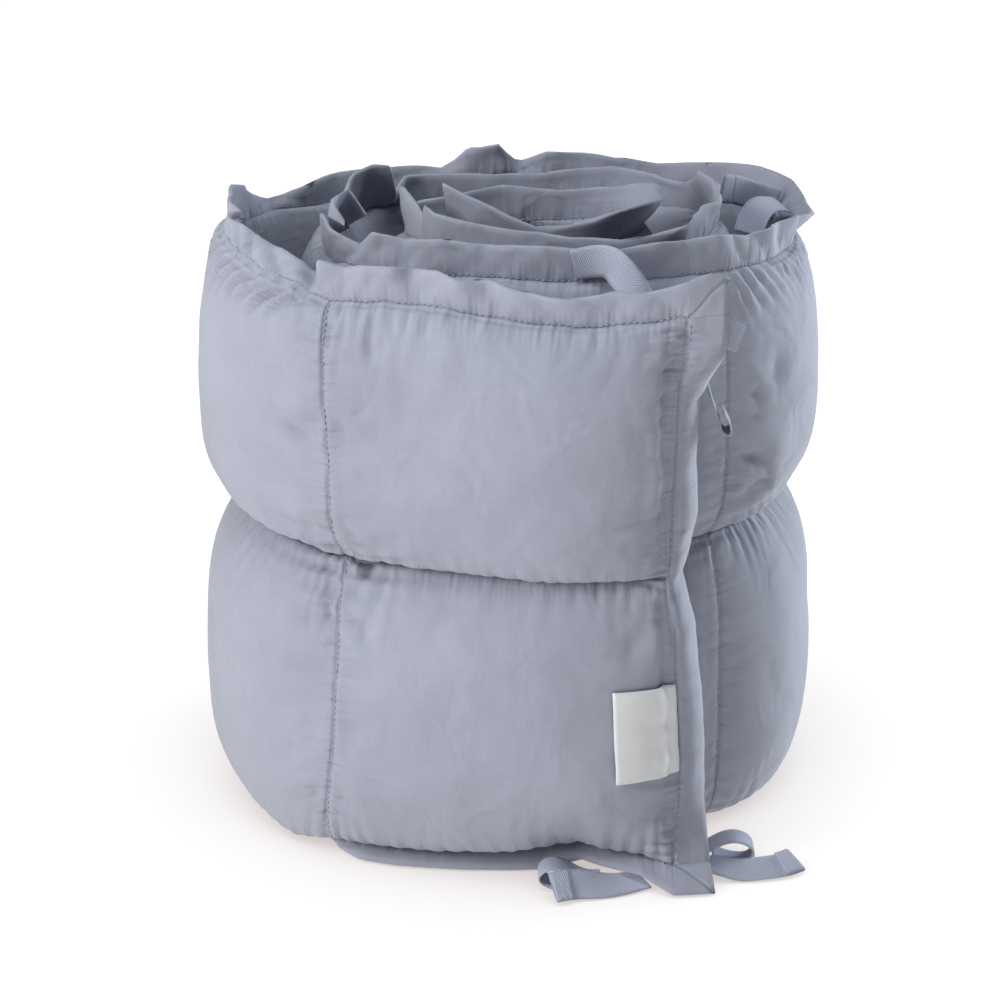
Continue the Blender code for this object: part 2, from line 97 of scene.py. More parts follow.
floor_mesh = bpy.data.meshes.new("floor")
floor_corners = [(x * FLOOR_HALF, y * FLOOR_HALF, 0) for x, y in ((-1, -1), (1, -1), (1, 1), (-1, 1))]
floor_mesh.from_pydata(floor_corners, [], [(0, 1, 2, 3)])
floor = bpy.data.objects.new("floor", floor_mesh)
floor.location.z = -FLOOR_DROP
bpy.context.scene.collection.objects.link(floor)
floor_white, floor_shader = finish_of("floor_white", FLOOR_WHITE, 0.9, 0.0)
floor_tree = floor_white.node_tree
# Painted contact shadow: an occlusion node turns the floor's glow warm grey where the roll is near.
open_air = floor_tree.nodes.new("ShaderNodeAmbientOcclusion")
open_air.samples = 16
open_air.inputs["Distance"].default_value = SHADE_REACH
shade = floor_tree.nodes.new("ShaderNodeMix")
shade.data_type = "RGBA"
shade.inputs[6].default_value = SHADE_WARM
shade.inputs[7].default_value = (1.0, 1.0, 1.0, 1.0)
floor_tree.links.new(open_air.outputs["AO"], shade.inputs["Factor"])
floor_tree.links.new(shade.outputs[2], floor_shader.inputs["Emission Color"])
floor_shader.inputs["Emission Strength"].default_value = FLOOR_GLOW
floor_mesh.materials.append(floor_white)

for name, place, aim, wide, tall, watts, colour in LAMPS:
    light = bpy.data.lights.new(name, "AREA")
    light.shape = "RECTANGLE"
    light.size = wide
    light.size_y = tall
    light.energy = watts
    light.color = colour
    lamp = bpy.data.objects.new(name, light)
    lamp.location = place
    lamp.rotation_euler = (Vector(aim) - Vector(place)).to_track_quat("-Z", "Y").to_euler()
    bpy.context.scene.collection.objects.link(lamp)

room = bpy.data.worlds.new("room")
room.use_nodes = True
room.node_tree.nodes["Background"].inputs["Color"].default_value = ROOM_BLUE
room.node_tree.nodes["Background"].inputs["Strength"].default_value = ROOM_LIGHT
bpy.context.scene.world = room
bpy.context.scene.view_settings.view_transform = "Standard"
bpy.context.scene.view_settings.gamma = CONTRAST

# ------------------------------------------------------------
# The quilted strip: two layers of plain cotton with polyester filling between them, sewn through
# along the middle and every 166 mm across, with a flat hemmed border sewn round all four edges.
# It is wound three and a half turns and stands on one long edge.
# ------------------------------------------------------------
# As cut: its flat border, a panel's width and how many there are, its length, the height of a row
# and of the middle seam, and how thick the border and a seam are.
FLANGE = 0.018
PANEL = 0.166
PANELS = 11
STRIP = 2 * FLANGE + PANELS * PANEL
ROW = 0.132
MIDDLE_SEAM = 0.150
CLOTH = 0.0030
SEAM = 0.0026

# As filled: how far a pad swells inwards, the air it leaves to the next turn, how full and how
# steep its crown is both ways, how far each row's sags, and how far it hangs over its seams.
CROWN_IN = 0.0180
AIR = 0.0022
TALL_FLAT, TALL_STEEP = 2.6, 0.55
WIDE_FLAT, WIDE_STEEP = 2.5, 0.75
SAG = (0.135, 0.10)
OVERHANG = 0.20
FLOOR_SAG = 0.75

# What share of a row the middle seam and the bottom stitch line draw in, and how far from the free
# end the filling still draws the strip in.
MIDDLE_REACH = 0.30
INSET_REACH = 0.36
END_REACH = 0.12

# Seen from above, in mm: where the middle of the strip passes, from its free end inwards. All of
# it, and the ties, are moved by MIDDLE_MM, so that the roll stands over the origin.
ROLL_MM = (
    (97, -121), (50, -123), (0, -116), (-45, -104), (-82, -89), (-113, -62), (-132, -18),
    (-134, 32), (-124, 78), (-96, 111), (-48, 131), (0, 135), (50, 139), (98, 132),
    (128, 103), (136, 52), (131, -8), (104, -59), (52, -83), (0, -77), (-45, -63),
    (-75, -41), (-88, -4), (-84, 40), (-60, 76), (-8, 93), (45, 98), (84, 83), (99, 45),
    (92, -4), (65, -38), (20, -40), (-22, -30), (-47, -2), (-44, 30), (-12, 51), (30, 57),
    (61, 40), (54, 8), (18, -4), (-28, 16),
)
MIDDLE_MM = (1.12, 1.08)

# The top edge, in mm: how far along the strip, how high, and how far it leans out of the roll.
RIM_MM = (
    (0, 290, 0), (9, 293, 2), (18, 290, 3), (37, 284, 3), (50, 285, 0), (68, 281, 4), (92, 283, 2),
    (106, 287, -1), (120, 287, 4), (130, 290, 1), (144, 289, -3), (151, 291, 3), (166, 290, 3),
    (176, 287, -1), (188, 290, 2), (197, 279, -10), (206, 284, -8), (225, 286, -11), (238, 288, -8),
    (250, 287, -10), (265, 290, -6), (285, 289, -1), (296, 289, -7), (312, 291, -1), (336, 292, 1),
    (348, 289, -1), (362, 282, -1), (385, 272, 6), (398, 273, 2), (410, 277, -3), (432, 279, 3),
    (455, 280, -2), (474, 279, 3), (488, 277, 3), (500, 289, -3), (516, 291, -6), (526, 279, 5),
    (540, 286, -3), (560, 284, 3), (582, 282, -2), (600, 278, 3), (628, 282, -1), (655, 284, 4),
    (680, 282, 10), (706, 275, 13), (718, 276, 14), (732, 278, 12), (745, 282, 9), (760, 284, 4),
    (775, 289, 5), (792, 289, -2), (810, 292, 3), (828, 291, -1), (850, 296, 2), (866, 294, -3),
    (880, 296, 2), (900, 292, -1), (932, 294, 2), (960, 292, -2), (980, 294, 1), (1000, 291, -2),
    (1014, 294, 3), (1028, 284, -5), (1040, 290, 4), (1052, 294, 4), (1064, 292, 1),
    (1075, 281, -13), (1085, 293, -5), (1095, 297, -12), (1106, 280, -20), (1116, 286, -7),
    (1130, 295, -5), (1142, 299, -9), (1150, 297, -16), (1160, 280, -12), (1172, 287, -2),
    (1200, 285, 2), (1240, 284, -2), (1280, 287, 2), (1320, 283, -1), (1345, 292, -4),
    (1358, 298, -6), (1372, 294, 2), (1385, 290, 4), (1412, 293, -1), (1440, 290, 6),
    (1462, 286, 0), (1490, 288, 3), (1530, 291, 0), (1552, 294, 4), (1566, 297, 2),
    (1576, 284, -8), (1590, 298, -2), (1602, 300, 4), (1614, 284, 8), (1640, 286, -2),
    (1665, 288, 2), (1694, 285, -2), (1722, 288, 2), (1748, 296, 10), (1758, 292, 16),
    (1770, 294, 14), (1785, 290, 12), (1810, 281, 2), (1840, 292, 4), (1862, 300, 6),
)

# How far the stitch line under the rim lies below it, in mm: less where the border leans over.
DROP_MM = (
    (0, 16.5), (188, 16.5), (206, 10), (240, 8), (290, 9), (325, 11), (350, 15), (390, 9),
    (420, 12), (480, 12), (510, 11), (540, 13), (660, 13), (690, 10), (735, 10), (765, 14.5),
    (790, 16.5), (1862, 16.5),
)
RIM_EASED = (-0.03, -0.015, 0.0, 0.015, 0.03)

# The bottom border, in mm: how far along, how far its stitch line is set in or out, how far its
# edge reaches outwards from there, how high the stitch line is above the edge, and the edge's lift.
FOOT_MM = (
    (0, 9, 15.9, 8.5, 0), (20, 7, 15.9, 8.5, 0), (34, -2, 15.9, 8.5, 6), (54, -10, 15.3, 9.5, 7),
    (62, -14, 14.2, 11, 7), (72, -15, 13.8, 11.6, 3), (80, -15, 14.2, 11, 0), (95, -13, 16, 8, 0),
    (120, -9, 17, 6, 0), (150, -5, 17.2, 5.3, 0), (168, -3, 15, 4.5, 0), (182, -1, 6, 4, 0),
    (192, 0, -4, 3, 0), (204, -2, -14, 1.9, 0), (225, -8, -12, 1.9, 0), (250, -13, -12, 1.9, 0),
    (320, -13, -12, 1.9, 0), (390, -6, -16, 1.9, 0), (620, -6, -16, 1.9, 0),
    (690, -12, -12, 1.9, 0), (790, -12, -12, 1.9, 0), (850, -6, -14, 1.9, 0),
    (900, 0, -17.9, 1.9, 0), (1720, 0, -17.9, 1.9, 0), (1790, 0, -6, 1.9, 0),
    (1862, 0, -6, 1.9, 0),
)

# The free end, in mm: how high, how far the filling draws it in, and how far its border turns back.
# In between the border arches a little, and the filling is thinner at the end than further in.
END_MM = (
    (0, 3, 2), (8, 3, 4), (20, 2, 8), (36, 1, 11), (60, 0.5, 11.5), (85, 2.2, 11), (105, 3.9, 12),
    (125, 5, 13), (140, 8, 14), (148, 9, 14.6), (160, 7.5, 13.4), (178, 6.8, 11), (205, 5.6, 13.4),
    (232, 5.4, 12), (240, 5, 9), (248, 3.5, 4), (254, 1.5, 0.5), (262, 0.5, 0), (300, 0, 0),
)
END_ARCH = 0.0045
END_ARCH_AT = (0.02, 0.05, 0.235, 0.265)
END_THIN = 0.88
END_FULL = 0.06

# The outer turn's filling, in mm: how far along, how far a pad swells outwards, what share of that
# an upright seam is pulled out by, and how far the middle seam is drawn in.
PAD_MM = (
    (0, 21, 0.8, 0), (50, 21, 0.8, 4), (150, 21, 0.8, 6), (200, 18, 0.8, 8), (250, 14.5, 0.6, 12),
    (340, 13.5, 0.5, 13), (400, 16.5, 0.45, 9), (640, 16.5, 0.45, 6), (700, 15, 0.45, 12),
    (790, 14.5, 0.45, 12), (850, 16.5, 0.45, 6), (950, 16.5, 0.45, 0), (1862, 16.5, 0.45, 0),
)

# The upright seam between the front and the left pads wanders towards the free end: how high and
# how far, in mm.
WANDER_MM = ((18, 0), (60, 6), (110, 8), (150, 6), (200, 6), (240, 4), (282, 0))
WANDER_AT = 0.184
WANDER_REACH = 0.12
CURVE_PARTS = 24
ROLL_STEP = 0.002


def travelled(points):
    """How far along a line each of its points lies."""
    return np.r_[0.0, np.cumsum(np.linalg.norm(np.diff(points[:, :3], axis=0), axis=1))]


def smooth_through(points, step):
    """A natural cubic curve through the rows, which open with a place, at even steps of its length."""
    chord = travelled(points)
    gap = np.diff(chord)
    count = len(points)
    matrix = np.eye(count)
    right = np.zeros(points.shape)
    for i in range(1, count - 1):
        matrix[i, i - 1 : i + 2] = gap[i - 1], 2 * (gap[i - 1] + gap[i]), gap[i]
        after = (points[i + 1] - points[i]) / gap[i]
        before = (points[i] - points[i - 1]) / gap[i - 1]
        right[i] = 3 * (after - before)
    bend = np.linalg.solve(matrix, right)
    fine = []
    for i in range(count - 1):
        slope = (points[i + 1] - points[i]) / gap[i] - gap[i] * (2 * bend[i] + bend[i + 1]) / 3
        twist = (bend[i + 1] - bend[i]) / (3 * gap[i])
        for t in np.linspace(0.0, gap[i], CURVE_PARTS, endpoint=False):
            fine.append(points[i] + slope * t + bend[i] * t**2 + twist * t**3)
    fine = np.array(fine + [points[-1]])
    length = travelled(fine)
    even = np.linspace(0.0, length[-1], int(length[-1] / step) + 1)
    return even, np.array([np.interp(even, length, fine[:, k]) for k in range(fine.shape[1])]).T


def eased(values, steps):
    """Values evened out over their neighbours."""
    even = np.ones(2 * steps + 1) / (2 * steps + 1)
    return np.convolve(np.pad(values, steps, mode="edge"), even, mode="valid")


roll_points = (np.array(ROLL_MM, float) - MIDDLE_MM) / 1000
roll_along, roll_line = smooth_through(roll_points, ROLL_STEP)
roll_along *= STRIP / roll_along[-1]
roll_ahead = np.gradient(roll_line, axis=0)
roll_ahead /= np.linalg.norm(roll_ahead, axis=1)[:, None]
roll_out = np.stack([-roll_ahead[:, 1], roll_ahead[:, 0]], axis=1)


# Another turn is this far off along the strip at least, this far out, and this near sideways.
TURN_ALONG = 0.08
TURN_OUT = 0.01
TURN_BESIDE = 0.008
ROOM_STEPS = 10


def room_beside(side, crown):
    """How far the filling may swell to one side: up to its crown, or half way to the next turn."""
    room = np.full(len(roll_along), 1.0)
    for i, here in enumerate(roll_line):
        apart = roll_line - here
        reach = apart @ roll_out[i] * side
        sideways = np.abs(apart @ roll_ahead[i])
        other = (np.abs(roll_along - roll_along[i]) > TURN_ALONG) & (reach > TURN_OUT)
        other &= sideways < TURN_BESIDE
        if other.any():
            room[i] = reach[other].min()
    limit = np.minimum(crown, (room - AIR) / 2)
    low = [limit[max(0, i - ROOM_STEPS) : i + ROOM_STEPS + 1].min() for i in range(len(limit))]
    return eased(np.array(low), ROOM_STEPS)


pad_along, pad_crown, pad_bow, pad_draw = (np.array(PAD_MM, float) / (1000, 1000, 1, 1000)).T
wander_height, wander_shift = np.array(WANDER_MM, float).T / 1000
swell_out = room_beside(1, np.interp(roll_along, pad_along, pad_crown))
swell_in = room_beside(-1, CROWN_IN)
rim_along, rim_height, rim_lean = np.array(RIM_MM, float).T / 1000
drop_along, drop = np.array(DROP_MM, float).T / 1000
foot_along, foot_set, foot_reach, foot_rise, foot_lift = np.array(FOOT_MM, float).T / 1000
end_height, end_draw, end_back = np.array(END_MM, float).T / 1000


def crowned(share, flat, steep):
    """From 0 at a seam to 1 in the middle of a pad, steep at the seam."""
    return np.maximum(0.0, 1.0 - np.abs(2 * share - 1) ** flat) ** steep


def panel_share(along):
    """How far across its panel a place is, and 0 on the end borders."""
    panels = (along - FLANGE) / PANEL
    return np.where((panels > 0.0) & (panels < PANELS), panels % 1.0, 0.0)


def across_pad(along):
    """How full the strip is across its panels."""
    return crowned(panel_share(along), WIDE_FLAT, WIDE_STEEP)


def up_pad(row, share):
    """How full a row is at a share of its height, fullest a little below its middle."""
    return crowned(share ** (math.log(0.5) / math.log(0.5 - SAG[row])), TALL_FLAT, TALL_STEEP)


def stitch_height(along):
    """How high the stitch line under the rim is, which follows the rim more evenly."""
    near = [np.interp(along + shift, rim_along, rim_height) for shift in RIM_EASED]
    return sum(near) / len(near) - np.interp(along, drop_along, drop)


def lowest_stitch(along):
    """How high the stitch line of the bottom border is."""
    lift = np.interp(along, foot_along, foot_lift)
    return np.interp(along, foot_along, foot_rise) + CLOTH / 2 + lift / 2


def placed(along, outwards, height):
    """Points on the roll: how far along the strip, how far out of its middle, and how high."""
    drawn = along + np.interp(height, end_height, end_draw) * np.maximum(0.0, 1 - along / END_REACH)
    shift = np.interp(height, wander_height, wander_shift)
    drawn = drawn - shift * np.maximum(0.0, 1 - np.abs(along - WANDER_AT) / WANDER_REACH)
    hem = np.maximum(0.0, 1 - along / FLANGE)
    back = np.interp(height, end_height, end_back)
    drawn = drawn + (FLANGE - np.sqrt(FLANGE**2 - back**2)) * hem
    arched = np.interp(height, END_ARCH_AT, (0.0, END_ARCH, END_ARCH, 0.0))
    outwards = outwards - back * hem + arched * np.sin(math.pi * hem)
    x, y = (np.interp(drawn, roll_along, roll_line[:, k]) for k in (0, 1))
    out_x, out_y = (np.interp(drawn, roll_along, roll_out[:, k]) for k in (0, 1))
    size = np.hypot(out_x, out_y)
    return np.stack([x + out_x / size * outwards, y + out_y / size * outwards, height], axis=-1)


def padded_points(along, row, share, side):
    """The padded part of the strip: row 0 or 1, share of that row's height, side 1 outwards or -1."""
    inset = np.interp(along, foot_along, foot_set)
    tucked = np.maximum(0.0, -np.interp(along, foot_along, foot_reach)) / FLANGE
    levels = (lowest_stitch(along), MIDDLE_SEAM, stitch_height(along))
    room = np.interp(along, roll_along, swell_out if side > 0 else swell_in)
    near_end = np.clip((along - FLANGE) / (END_FULL - FLANGE), 0.0, 1.0)
    room = room * (END_THIN + (1 - END_THIN) * np.sin(near_end * math.pi / 2))
    swell = room * across_pad(along) * up_pad(row, share)
    settle = OVERHANG
    if row == 0 and side > 0:
        settle = OVERHANG + (share < 0.5) * (FLOOR_SAG - OVERHANG) * tucked
    height = levels[row] + (levels[row + 1] - levels[row]) * share
    height = height - settle * swell * np.cos(math.pi * share)
    reach = np.minimum(np.minimum((along - FLANGE) / PANEL, (STRIP - FLANGE - along) / PANEL), 0.5) * 2
    bow = np.interp(along, roll_along, swell_out) * up_pad(row, share)
    bow = np.interp(along, pad_along, pad_bow) * bow * (1.0 - across_pad(along)) * np.maximum(0.0, reach)
    outwards = bow + side * (SEAM / 2 + swell)
    beside = np.maximum(0.0, 1 - (1 - share if row == 0 else share) / MIDDLE_REACH) ** 2
    outwards = outwards - beside * np.interp(along, pad_along, pad_draw)
    if row == 0:
        outwards = outwards + inset * np.maximum(0.0, 1 - share / INSET_REACH) ** 2
    if side < 0:
        outwards = np.maximum(outwards, -SEAM / 2 - room)
    return placed(along, outwards, np.maximum(0.0, height))


def foot_points(along, share):
    """The middle of the bottom border: share 0 at its edge and 1 at its stitch line."""
    inset = np.interp(along, foot_along, foot_set)
    reach = np.interp(along, foot_along, foot_reach)
    lift = np.interp(along, foot_along, foot_lift)
    stitch = lowest_stitch(along)
    height = stitch + (lift + CLOTH / 2 - stitch) * (1 - share)
    return placed(along, inset + reach * (1 - share), height)


def top_points(along, share):
    """The middle of the top border: share 0 at its stitch line and 1 at the rim."""
    stitch = stitch_height(along)
    height = stitch + (np.interp(along, rim_along, rim_height) - stitch) * share
    return placed(along, np.interp(along, rim_along, rim_lean) * share, height)


# The lines of the mesh: closer together on the outer turn, at the pleats and beside the seams.
PANEL_LINES = (90, 112, 46, 44, 112, 64, 90, 28, 30, 24, 24)
OUTER_TURN = 5
END_LINES = 6
FOOT_ROWS = 5
PAD_ROWS = 42
TOP_SHARES = (0.0, 0.15, 0.31, 0.47, 0.63, 0.79, 0.95, 1.0)
SEAM_CROWDING = 0.5
ROW_CROWDING = 0.78


def crowded(count, edge):
    """Shares from 0 up to, not with, 1, closer together at both ends; edge is how much closer."""
    even = np.arange(count) / count
    return even - edge * np.sin(2 * math.pi * even) / (2 * math.pi)


columns = [np.arange(END_LINES) / END_LINES * FLANGE]
seam_columns = [END_LINES]
for panel, count in enumerate(PANEL_LINES):
    columns.append(FLANGE + PANEL * (panel + crowded(count, SEAM_CROWDING)))
    seam_columns.append(seam_columns[-1] + count)
columns.append(STRIP - FLANGE + np.arange(END_LINES + 1) / END_LINES * FLANGE)
columns = np.concatenate(columns)
pad_shares = crowded(PAD_ROWS, ROW_CROWDING)
foot_shares = np.arange(FOOT_ROWS) / FOOT_ROWS
seam_rows = (FOOT_ROWS, FOOT_ROWS + PAD_ROWS, FOOT_ROWS + 2 * PAD_ROWS)

along, share = np.meshgrid(columns, foot_shares, indexing="ij")
foot_part = foot_points(along, share)
along, share = np.meshgrid(columns, TOP_SHARES, indexing="ij")
top_part = top_points(along, share)
along, share = np.meshgrid(columns, pad_shares, indexing="ij")
skins = {}
for side in (1, -1):
    lower = padded_points(along, 0, share, side)
    upper = padded_points(along, 1, share, side)
    skins[side] = np.concatenate([foot_part, lower, upper, top_part], axis=1)
wide, tall = skins[1].shape[:2]

# Where each point lies on the cloth before it is rolled: along it, and up from its bottom edge.
up_rows = np.r_[
    foot_shares * FLANGE,
    FLANGE + pad_shares * ROW,
    FLANGE + ROW + pad_shares * ROW,
    FLANGE + 2 * ROW + np.array(TOP_SHARES) * FLANGE,
]
cloth_along, cloth_up = np.meshgrid(columns, up_rows, indexing="ij")


def facing_out(skin):
    """The direction out of the roll at each point of a skin."""
    normal = np.cross(np.gradient(skin, axis=1), np.gradient(skin, axis=0))
    return normal / np.maximum(np.linalg.norm(normal, axis=2, keepdims=True), 1e-12)


# Each pad's cloth is cut flat and a little too long for its seams, so it bulges over the filling.
# A short run of the cloth simulation lets it do that on the outer turn.
SETTLING_FRAMES = 22
SETTLING_PRESSURE = 10.0
SETTLING_REACH = 0.003
SETTLING_CLOTH = {
    "quality": 4,
    "mass": 0.1,
    "tension_stiffness": 40.0,
    "compression_stiffness": 5.0,
    "shear_stiffness": 3.0,
    "bending_stiffness": 0.01,
    "air_damping": 1.0,
}
BORDER_HOLD = 0.10
RIM_HOLD = 0.30
CUT_LONG = 88


def one_skin(rows, lines):
    """The faces of a skin of rows by lines points."""
    i, j = np.meshgrid(np.arange(rows - 1), np.arange(lines - 1), indexing="ij")
    here = (i * lines + j).ravel()
    return np.stack([here, here + 1, here + lines + 1, here + lines], axis=1)


def cut_lengths(skin, axis):
    """The cloth's own length between neighbouring lines: as long as the pads' crowns need."""
    steps = np.linalg.norm(np.diff(skin, axis=axis), axis=2)
    return np.percentile(steps, CUT_LONG, axis=1 - axis)


def settled(skin, last):
    """The outer skin up to a column, after its cloth has settled over the filling."""
    part = skin[: last + 1]
    w, h = part.shape[:2]
    faces = np.roll(one_skin(w, h), -1, axis=1)
    mesh = bpy.data.meshes.new("settling")
    mesh.from_pydata(part.reshape(-1, 3).tolist(), [], faces.tolist())
    cloth = bpy.data.objects.new("settling", mesh)
    bpy.context.scene.collection.objects.link(cloth)
    cloth.shape_key_add(name="Basis")
    cut = cloth.shape_key_add(name="cut")
    x = np.r_[0, np.cumsum(cut_lengths(part, 0))]
    z = np.r_[0, np.cumsum(cut_lengths(part, 1))]
    x, z = np.meshgrid(x, z, indexing="ij")
    flat = np.stack([x, np.zeros_like(x), z], axis=-1)
    cut.data.foreach_set("co", flat.astype(np.float32).ravel())
    cut.value = 0.0

    held = np.zeros((w, h))
    held[:, seam_rows[2] + 1 :] = BORDER_HOLD
    held[:, -1] = RIM_HOLD
    held[:, : seam_rows[0] + 1] = 1.0
    held[:, seam_rows[1:3]] = 1.0
    held[[0, -1] + [c for c in seam_columns if c <= last], :] = 1.0
    pins = cloth.vertex_groups.new(name="held")
    for weight in np.unique(held[held > 0]):
        pins.add(np.flatnonzero(held.ravel() == weight).tolist(), float(weight), "REPLACE")
    filled = np.zeros((w, h))
    filled[:, : seam_rows[2]] = 1.0
    blown = cloth.vertex_groups.new(name="filled")
    blown.add(np.flatnonzero(filled.ravel()).tolist(), 1.0, "REPLACE")

    modifier = cloth.modifiers.new("cloth", "CLOTH")
    settings = modifier.settings
    for name, value in SETTLING_CLOTH.items():
        setattr(settings, name, value)
    settings.vertex_group_mass = "held"
    settings.rest_shape_key = cut
    settings.use_pressure = True
    settings.uniform_pressure_force = SETTLING_PRESSURE
    settings.vertex_group_pressure = "filled"
    settings.effector_weights.gravity = 0.0
    modifier.collision_settings.use_collision = False
    modifier.point_cache.frame_start = 1
    modifier.point_cache.frame_end = SETTLING_FRAMES
    for number in range(1, SETTLING_FRAMES + 1):
        bpy.context.scene.frame_set(number)
    graph = bpy.context.evaluated_depsgraph_get()
    moved = np.empty(w * h * 3, np.float32)
    cloth.evaluated_get(graph).to_mesh().vertices.foreach_get("co", moved)
    cloth.evaluated_get(graph).to_mesh_clear()
    bpy.data.objects.remove(cloth, do_unlink=True)
    bpy.context.scene.frame_set(1)
    shift = moved.reshape(w, h, 3) - part
    size = np.linalg.norm(shift, axis=2, keepdims=True)
    return part + shift * np.minimum(1.0, SETTLING_REACH / np.maximum(size, 1e-9))


outer_end = seam_columns[OUTER_TURN]
skins[1][: outer_end + 1] = settled(skins[1], outer_end)

# ------------------------------------------------------------
# Its gathers and creases: each seam draws the cloth in, so short puckers run from it into the
# pads, longest where the strip turns round the roll, and a few soft folds lie where it is bent.
# ------------------------------------------------------------
# Which way a seam runs, where it lies, the side of it that puckers (0 is both), the stretch of it,
# how far apart its puckers are, how far they reach, how high they stand, all in mm, and how far
# they slant along the seam for each mm away from it.
GATHERS_MM = (
    ("along", 282, -1, 18, 1844, 9.5, 6.0, 0.55, 0.2),
    ("along", 282, -1, 690, 846, 9.0, 7.5, 1.60, -0.6),
    ("along", 282, -1, 100, 190, 9.5, 8.0, 1.60, 0.2),
    ("along", 282, 1, 0, 1862, 25.0, 11.0, 1.70, 0.8),
    ("along", 282, 1, 0, 1862, 12.0, 6.0, 0.60, -0.9),
    ("along", 150, -1, 18, 1844, 9.0, 5.0, 0.70, 0.2),
    ("along", 150, 1, 18, 1844, 10.0, 5.0, 0.60, 0.0),
    ("along", 150, -1, 150, 260, 8.0, 9.0, 1.90, 0.4),
    ("along", 18, 1, 18, 1844, 8.5, 5.0, 0.70, 0.0),
    ("up", 18, 1, 18, 282, 5.6, 5.0, 1.70, 0.0),
    ("up", 18, -1, 18, 282, 16.0, 9.0, 1.30, 0.6),
    ("up", 18, 1, 160, 282, 6.2, 6.0, 1.20, 0.3),
    ("up", 184, 0, 18, 282, 7.5, 5.5, 0.75, 0.0),
    ("up", 184, 0, 34, 270, 7.0, 10.0, 2.40, 0.1),
    ("up", 184, 1, 150, 235, 8.5, 13.0, 2.20, -0.2),
    ("up", 350, 0, 18, 282, 8.0, 6.0, 0.75, 0.0),
    ("up", 516, 0, 18, 282, 9.0, 6.0, 0.70, 0.0),
    ("up", 682, 0, 18, 282, 8.0, 6.0, 0.80, 0.0),
    ("up", 848, 0, 18, 282, 8.0, 6.0, 0.80, 0.0),
    ("up", 848, -1, 150, 240, 8.0, 13.0, 2.20, 0.2),
    ("up", 1014, 0, 18, 282, 9.0, 6.0, 0.70, 0.0),
    ("up", 1180, 0, 18, 282, 9.0, 6.0, 0.70, 0.0),
    ("up", 1844, -1, 18, 282, 6.0, 5.0, 0.70, 0.0),
)

# Single folds of the outer face: from where to where (along, up), how wide and how high, less
# than 0 for a trough, and how far its middle bends to one side, all in mm.
CREASES_MM = (
    (194, 281, 213, 265, 2.2, -4.9, 2), (204, 281, 227, 260, 2.1, -5.7, 2.5),
    (215, 281, 240, 262, 2.1, -4.9, 2), (226, 281, 249, 259, 2.2, -6.1, 3),
    (238, 281, 260, 261, 2.1, -5.2, 2), (249, 281, 272, 258, 2.2, -5.8, 2.5),
    (262, 281, 281, 262, 2.1, -4.6, 2), (274, 281, 295, 259, 2.2, -5.2, 2),
    (287, 281, 305, 263, 2.2, -4.3, 1.5), (300, 281, 317, 261, 2.4, -4.6, 1.5),
    (210, 262, 236, 250, 3.6, -0.9, 2), (236, 256, 262, 244, 3.6, -0.8, 2),
    (182.5, 282, 181.5, 262, 2.4, -2.2, 0), (173, 282, 174, 264, 2.2, -2, 0.5),
    (159, 282, 160.5, 254, 2.6, -3.2, 1), (152, 282, 150, 266, 2.2, -2.2, 0),
    (134, 282, 135, 266, 2.4, -1.8, 0), (121, 282, 119, 268, 2.6, -1.6, 0),
    (185, 163, 222, 166, 2.8, -4.6, 2), (186, 171, 214, 175, 3.2, 1.4, 1),
    (185, 156, 203, 156, 2.2, -2.8, 0.5), (187, 184, 226, 189, 3.6, -2, 2),
    (187, 199, 220, 205, 3.6, -1.8, -2), (184, 149, 228, 122, 3, 2.6, 3),
    (184, 147, 220, 131, 2.8, -2.4, 2), (187, 142, 190, 120, 2.6, -2.6, 1),
    (181, 150, 166, 145, 3.4, -4.6, 0.5), (176, 157, 150, 161, 4, 1.2, 1),
    (188, 158, 196, 166, 4, 1.4, 0), (178, 147, 170, 136, 3, 1, 1),
    (187, 212, 214, 218, 3.4, -1.6, 1.5), (187, 226, 210, 230, 3.6, -1.3, -1.5),
    (187, 241, 206, 246, 3.4, -1.2, 1.5), (187, 254, 202, 258, 3.2, -1, 0),
    (180, 196, 162, 200, 3.4, -1.2, 1), (180, 178, 158, 180, 3.2, -1.3, 1),
    (180, 214, 166, 220, 3.4, -1, 1), (188, 105, 210, 98, 4, -1, 1), (188, 64, 214, 58, 4.2, -0.9, 1),
    (24, 184, 50, 182, 3, -1.9, 1.5), (26, 134, 42, 112, 4.5, -1.4, 1.5),
    (34, 140, 46, 124, 4, -0.9, 1), (22.5, 272, 21, 205, 4.2, -4.2, 0.8),
    (21, 222, 22, 158, 4, -3.2, -0.8), (21, 144, 21.5, 84, 3.6, -2.4, 0.5),
    (21, 92, 22, 30, 3.2, -1.4, 0.5), (21, 82, 34, 68, 4, -0.9, 1), (60, 24, 84, 30, 5, -1.2, 2),
    (110, 22, 132, 27, 5, -0.8, -2), (822, 186, 847, 190, 2.8, -3, 1),
    (818, 175, 847, 178, 2.8, -2.8, -1), (700, 120, 748, 86, 9, -1, 4), (236, 90, 262, 50, 8, -1, 3),
)
UNEVEN_MM = (
    # size of the unevenness, its height
    (58.0, 1.80),
    (22.0, 0.70),
)


# Puckers change over this many of their spaces, in place by this share of a space, and in strength
# down to this share. Their middle level is taken off, so that they cut in as much as they rise.
PUCKER_RUN = 2.5
PUCKER_DRIFT = 0.7
PUCKER_WEAKEST = 0.3
PUCKER_LEVEL = 1.27


def puckers(place, pitch, seed):
    """Rounded ridges between narrower troughs, at uneven spaces and of uneven strength."""
    chance = np.random.default_rng(seed)
    knots = np.arange(-20.0, 1900.0, PUCKER_RUN * pitch)
    drift = np.interp(place, knots, chance.uniform(-PUCKER_DRIFT, PUCKER_DRIFT, len(knots)))
    strength = np.interp(place, knots, chance.uniform(PUCKER_WEAKEST, 1.0, len(knots)))
    return strength * (2 * np.abs(np.sin(math.pi * (place / pitch + drift))) - PUCKER_LEVEL)


